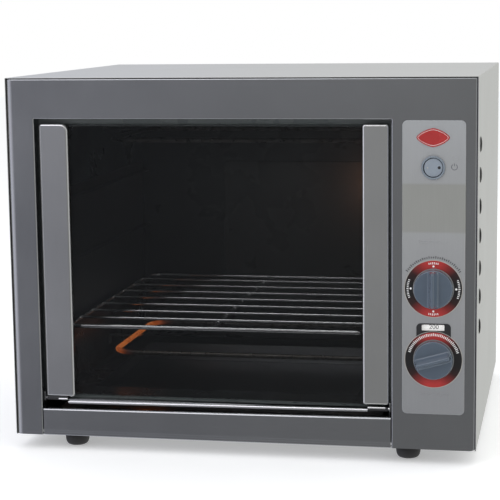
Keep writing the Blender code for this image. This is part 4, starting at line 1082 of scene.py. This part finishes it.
def switch():
    sx, sz = SWITCH
    prof = [(0.6, 5.0), (11.4, 5.0), (11.6, 4.8), (11.6, -2.0), (11.75, -2.45), (12.1, -2.8), (12.6, -3.0), (13.1, -2.95), (13.6, -2.6), (13.95, -2.0), (14.0, -1.4), (14.0, -1.0), (12.2, -1.0), (12.2, 19.6), (11.8, 20.0), (0.6, 20.0)]
    put("switch_bezel", lathe(prof, (sx, 0, sz), 72), "cabinet", "bezel_plastic", "switch_housing", smooth=35)
    tilt = math.radians(7)
    R = 10.9

    def face(x):
        return -1.35 - 1.35 * (x / R) ** 2

    def turn(x, y, z):
        return W(sx + x * math.cos(tilt) - y * math.sin(tilt), 0.2 + x * math.sin(tilt) + y * math.cos(tilt), sz + z)
    n = 72
    rings = []
    for r, y in ((R * 0.9, 3.0), (R * 0.985, 2.7), (R, 2.0), (R, -1.0)):
        rings.append([turn(r * math.cos(2 * math.pi * k / n), y, r * math.sin(2 * math.pi * k / n)) for k in range(n)])
    for ins, dep in quarter(0.7, 4):
        r = R - ins
        rings.append([turn(r * math.cos(2 * math.pi * k / n), face(r * math.cos(2 * math.pi * k / n)) + dep, r * math.sin(2 * math.pi * k / n)) for k in range(n)])
    for f in (0.8, 0.65, 0.5, 0.35, 0.2, 0.08):
        r = R * f
        rings.append([turn(r * math.cos(2 * math.pi * k / n), face(r * math.cos(2 * math.pi * k / n)), r * math.sin(2 * math.pi * k / n)) for k in range(n)])
    put("switch_rocker_cap", loft(rings), "rocker", "rocker_plastic", "switch_rocker", smooth=40)
    for name, x, r, mat in (("on", 6.7, 1.9, "ink"), ("off", -6.9, 0.9, "rim_lacquer")):
        rr = []
        for q, lift in ((r, -0.06), (r * 0.92, 0.08), (r * 0.5, 0.1)):
            rr.append([turn(x + q * math.cos(2 * math.pi * k / 28), face(x + q * math.cos(2 * math.pi * k / 28)) - lift, q * math.sin(2 * math.pi * k / 28)) for k in range(28)])
        rr.insert(0, [turn(x + r * math.cos(2 * math.pi * k / 28), face(x) + 0.5, r * math.sin(2 * math.pi * k / 28)) for k in range(28)])
        put("rocker_mark_" + name, loft(rr), "rocker", mat, smooth=40)


def knob(name, body, centre, angle):
    """Disc with a tall tapered grip across it, blended into the disc on both sides."""
    kx, kz = centre
    ca, sa = math.cos(math.radians(angle)), math.sin(math.radians(angle))

    def place(u, v, y):
        return W(kx + u * ca - v * sa, y, kz + u * sa + v * ca)
    R = KNOB_R - 1.5

    def ridge(u, v):
        """Height above the disc: steep flanks that flare at their foot, ends falling just inside the rim."""
        a = abs(v)
        top, foot = 1.5, 6.6
        if a <= top:
            h = 1 - 0.035 * (a / top) ** 2
        elif a < foot:
            q = (a - top) / (foot - top)
            h = 0.965 * (1 - q) ** 1.45
        else:
            h = 0
        e = math.sqrt(u * u + v * v) / R
        end = 1.0 if e < 0.86 else max(0.0, 1 - ((e - 0.86) / 0.14) ** 2.2)
        crest = 1 - 0.06 * (u / R) ** 2
        return 10.8 * h * end * crest

    vs_ = []
    nv = 68
    for i in range(nv + 1):
        q = -1 + 2 * i / nv
        w = 0.55 * q ** 3 + 0.45 * q
        vs_.append(max(-0.9999, min(0.9999, math.sin(math.pi / 2 * q) * 0.35 + 0.65 * w)))
    vals = sorted(set(round(R * v, 4) for v in vs_))
    nu = 56
    bm = bmesh.new()
    grid = []
    for v in vals:
        half = math.sqrt(max(R * R - v * v, 1e-4))
        row = []
        for k in range(nu + 1):
            t = math.sin(math.pi / 2 * (-1 + 2 * k / nu))
            u = half * t
            rr = math.sqrt(u * u + v * v) / R
            y = -8.6 - 0.6 * (1 - rr ** 2) - ridge(u, v)
            row.append(bm.verts.new(place(u, v, max(y, -20.0))))
        grid.append(row)
    for a, b in zip(grid, grid[1:]):
        for k in range(nu):
            bm.faces.new((a[k], a[k + 1], b[k + 1], b[k]))
    edge = [grid[0][k] for k in range(nu)] + [row[-1] for row in grid[:-1]] + [grid[-1][k] for k in range(nu, 0, -1)] + [row[0] for row in reversed(grid[1:])]
    # skirt
    prev = edge
    flat = []
    for v in edge:
        d = v.co - W(kx, 0, kz)
        flat.append(math.atan2(d.z, d.x))
    for r, y in ((R + 0.55, -8.35), (R + 0.95, -7.8), (KNOB_R - 0.3, -6.2), (KNOB_R, -2.6), (KNOB_R - 0.25, -1.7), (KNOB_R - 0.8, -1.4)):
        cur = [bm.verts.new(W(kx + r * math.cos(a), y, kz + r * math.sin(a))) for a in flat]
        for k in range(len(cur)):
            j = (k + 1) % len(cur)
            bm.faces.new((prev[k], prev[j], cur[j], cur[k]))
        prev = cur
    bm.faces.new(prev)
    bmesh.ops.remove_doubles(bm, verts=bm.verts, dist=5e-6)
    bmesh.ops.dissolve_degenerate(bm, edges=bm.edges, dist=2e-6)
    put(name + "_grip", bm, body, "knob_plastic", name, smooth=55, weighted=False)


def scale_numbers():
    """Numbers round the turning scale disc; the one over the axis shows in the window."""
    kx, kz = THERMO
    pieces = []
    for value, ang in ((50, -170), (100, -120), (150, -60), (200, 0), (250, 60), (300, 120)):
        cu = bpy.data.curves.new("digits", "FONT")
        cu.body = str(value)
        cu.size = 0.0078
        cu.extrude = 0.00006
        cu.align_x, cu.align_y = "CENTER", "CENTER"
        cu.resolution_u = 4
        ob = bpy.data.objects.new("digits", cu)
        bpy.context.scene.collection.objects.link(ob)
        bpy.context.view_layer.update()
        dg = bpy.context.evaluated_depsgraph_get()
        me = bpy.data.meshes.new_from_object(ob.evaluated_get(dg))
        t = math.radians(ang)
        # text lies in its own xy plane: up = away from the axis
        up = Vector((-math.sin(t), 0, math.cos(t)))
        right = Vector((math.cos(t), 0, math.sin(t)))
        c = W(kx, 3.32, kz) + up * 0.0388
        rot = Matrix((right, up, Vector((0, -1, 0)))).transposed().to_4x4()
        me.transform(Matrix.Translation(c) @ rot)
        bm = bmesh.new()
        bm.from_mesh(me)
        pieces.append(bm)
        bpy.data.objects.remove(ob, do_unlink=True)
        bpy.data.meshes.remove(me)
    for a in range(-175, 125, 10):
        t = math.radians(a)
        up = (-math.sin(t), math.cos(t))
    bm = bmesh.new()
    for p in pieces:
        me = bpy.data.meshes.new("tmp")
        p.to_mesh(me)
        p.free()
        bm.from_mesh(me)
        bpy.data.meshes.remove(me)
    put("scale_numbers", bm, "thermostat", "ink", smooth=0, fix=False)


def cord_bush():
    y = CAB_D
    prof = [(4.2, y - 8), (8.8, y - 8), (9.1, y - 7.7), (9.1, y - 0.7), (12.3, y - 0.7), (12.5, y - 0.4), (12.5, y + 1.6), (12.0, y + 2.2), (9.6, y + 3.0), (8.6, y + 4.2), (8.1, y + 5.4), (7.4, y + 6.0), (4.8, y + 6.0), (4.2, y + 5.5)]
    put("cord_bush_grommet", lathe(prof, (523.0, 0, 60.0), 48, "y", bore=True), "cabinet", "black_plastic", "cord_bush", smooth=35)


outer_wrap()
front_fascia()
feet()
rear_screws()
shelf()
elements()
rear_wall()
door()
tray()
control_panel()
switch()
knob("selector_knob", "selector", SELECTOR, 90.0)
knob("thermostat_knob", "thermostat", THERMO, 16.0)
scale_numbers()
cord_bush()

# ---------------------------------------------------------------- finishes of the nodes that stay
replaced = {"outer_wrap", "front_fascia", "wire_shelf", "lower_element", "upper_element", "door_glass", "door_stile_left", "door_stile_right",
            "door_bottom_rail", "crumb_tray_front", "crumb_tray_pan", "control_panel_plate", "scale_window", "switch_housing", "switch_rocker",
            "selector_knob", "thermostat_knob", "cord_bush"}
for part in RECORD["subparts"]:
    name, slot = part["node"], part["material_slot"]
    if name in replaced or name.startswith(("foot_", "rear_cover_screw_")):
        continue
    ob = NODES[name]
    ob = ob if hasattr(ob, "data") else bpy.data.objects[name]
    mat = M["liner" if name == "cavity_liner" else slot if slot in M else "zinc_steel"]
    if ob.material_slots:
        for s in ob.material_slots:
            s.material = mat
    else:
        ob.data.materials.append(mat)

# ---------------------------------------------------------------- floor, light, camera
bm = bmesh.new()
rings = []
for r in (0.25, 0.6, 1.2, 2.5, 5.0, 9.0):
    rings.append([bm.verts.new((r * math.cos(2 * math.pi * k / 96), r * math.sin(2 * math.pi * k / 96), 0)) for k in range(96)])
c = bm.verts.new((0, 0, 0))
for k in range(96):
    bm.faces.new((c, rings[0][k], rings[0][(k + 1) % 96]))
for a, b in zip(rings, rings[1:]):
    for k in range(96):
        j = (k + 1) % 96
        bm.faces.new((a[k], b[k], b[j], a[j]))
bmesh.ops.translate(bm, verts=bm.verts, vec=(0, 0, -0.0004))
me = bpy.data.meshes.new("floor")
bm.to_mesh(me)
bm.free()
floor = bpy.data.objects.new("floor", me)
bpy.context.scene.collection.objects.link(floor)
m, nt, b = tree("floor_paper")
co = coords(nt)
grain = noise_tex(nt, co, (1, 1, 1), 12.0, 3.0, 0.5)
nt.links.new(ramp(nt, grain, [(0.3, (0.86, 0.86, 0.86)), (0.7, (0.88, 0.88, 0.88))]), b.inputs["Base Color"])
b.inputs["Roughness"].default_value = 0.9
b.inputs["Specular IOR Level"].default_value = 0.1
b.inputs["Emission Color"].default_value = (1, 1, 1, 1)
b.inputs["Emission Strength"].default_value = 0.3
me.materials.append(m)
floor.visible_glossy = False

scene = bpy.context.scene
world = bpy.data.worlds.new("studio")
scene.world = world
world.use_nodes = True
nt = world.node_tree
nt.nodes.clear()
outp = node(nt, "ShaderNodeOutputWorld")
tc = node(nt, "ShaderNodeTexCoord")
sep = node(nt, "ShaderNodeSeparateXYZ")
nt.links.new(tc.outputs["Generated"], sep.inputs[0])


def mrange(src, a, b, lo=0.0, hi=1.0, smooth=True):
    n = node(nt, "ShaderNodeMapRange", interpolation_type="SMOOTHSTEP" if smooth else "LINEAR")
    n.inputs["From Min"].default_value, n.inputs["From Max"].default_value = a, b
    n.inputs["To Min"].default_value, n.inputs["To Max"].default_value = lo, hi
    nt.links.new(src, n.inputs["Value"])
    return n.outputs["Result"]


def maths(op, a, b):
    n = node(nt, "ShaderNodeMath", operation=op)
    for i, v in enumerate((a, b)):
        if isinstance(v, (int, float)):
            n.inputs[i].default_value = v
        else:
            nt.links.new(v, n.inputs[i])
    return n.outputs[0]


# a dark half in front of the oven, brighter above and at the right, dim far down and at the back left
front = mrange(sep.outputs[1], -0.50, -0.92)           # 1 straight in front
low = mrange(sep.outputs[2], 0.45, 0.05)               # 1 near and below the horizon
dark = maths("MULTIPLY", front, low)
drop = mrange(sep.outputs[2], -0.02, -0.26)            # darker towards the ground in front
dark = maths("MULTIPLY", dark, maths("ADD", 0.60, maths("MULTIPLY", drop, 0.10)))
left_back = maths("MULTIPLY", mrange(sep.outputs[0], -0.35, -0.9), mrange(sep.outputs[1], -0.35, 0.1))
level = maths("SUBTRACT", maths("SUBTRACT", 1.0, dark), maths("MULTIPLY", left_back, 0.35))
tint = ramp(nt, mrange(sep.outputs[0], -0.34, 0.05, 0.0, 1.0, smooth=False), [(0, (0.93, 0.955, 1.06)), (0.5, (0.97, 0.985, 1.0)), (1, (0.985, 1.0, 0.975))])
light = node(nt, "ShaderNodeBackground")
nt.links.new(tint, light.inputs["Color"])
nt.links.new(maths("MULTIPLY", level, 0.80), light.inputs["Strength"])
white = node(nt, "ShaderNodeBackground")
white.inputs["Color"].default_value = (1, 1, 1, 1)
white.inputs["Strength"].default_value = 1.0
mix = node(nt, "ShaderNodeMixShader")
lp = node(nt, "ShaderNodeLightPath")
nt.links.new(lp.outputs["Is Camera Ray"], mix.inputs[0])
nt.links.new(light.outputs[0], mix.inputs[1])
nt.links.new(white.outputs[0], mix.inputs[2])
nt.links.new(mix.outputs[0], outp.inputs["Surface"])


def area(name, loc, aim, size, power, colour=(1, 1, 1)):
    li = bpy.data.lights.new(name, "AREA")
    li.shape = "RECTANGLE"
    li.size, li.size_y = size
    li.energy = power
    li.color = colour
    ob = bpy.data.objects.new(name, li)
    scene.collection.objects.link(ob)
    ob.location = loc
    ob.rotation_euler = (Vector(aim) - Vector(loc)).to_track_quat("-Z", "Y").to_euler()
    return ob


area("top_softbox", (0.3, 0.2, 2.2), (0, 0, 0.2), (2.4, 2.4), 12)
area("left_key", (-0.75, -1.9, 1.6), (0, -0.1, 0.25), (1.3, 1.3), 9.5, (1.0, 0.98, 1.0))
area("left_strip", (-1.5, -1.7, 0.22), (-0.2, -0.2, 0.2), (0.9, 1.6), 2.4, (0.97, 0.97, 1.05))
area("front_strip", (0.1, -1.5, 2.0), (0, -0.26, 0.25), (1.4, 0.22), 1.6, (0.97, 0.98, 1.03))
area("cavity_light", tuple(W(254, 34, 250)), tuple(W(254, 60, 135)), (0.34, 0.02), 0.10, (0.97, 1.0, 1.0)).visible_camera = False
area("warm_light", tuple(W(402, 400, 275)), tuple(W(374, 441, 270)), (0.01, 0.06), 0.035, (1.0, 0.45, 0.25))
area("right_softbox", (2.3, 0.1, 1.1), (0, 0, 0.25), (1.6, 1.4), 6)

cam = bpy.data.cameras.new("camera")
cam.lens = 115.86
cam.sensor_width = 36
cam.shift_x = -0.03
cam.clip_end = 50
co_ = bpy.data.objects.new("camera", cam)
scene.collection.objects.link(co_)
right = Vector((0.98237134, 0.18660871, -0.01112358))
fwd = Vector((-0.18622942, 0.97172042, -0.14518273))
up = Vector((-0.01628335, 0.14469489, 0.98934233))
rot = Matrix((right, up, -fwd)).transposed()
co_.matrix_world = Matrix.Translation((0.39284, -2.12431, 0.53788)) @ rot.to_4x4()
scene.camera = co_
scene.view_settings.view_transform = "Standard"
scene.view_settings.look = "None"
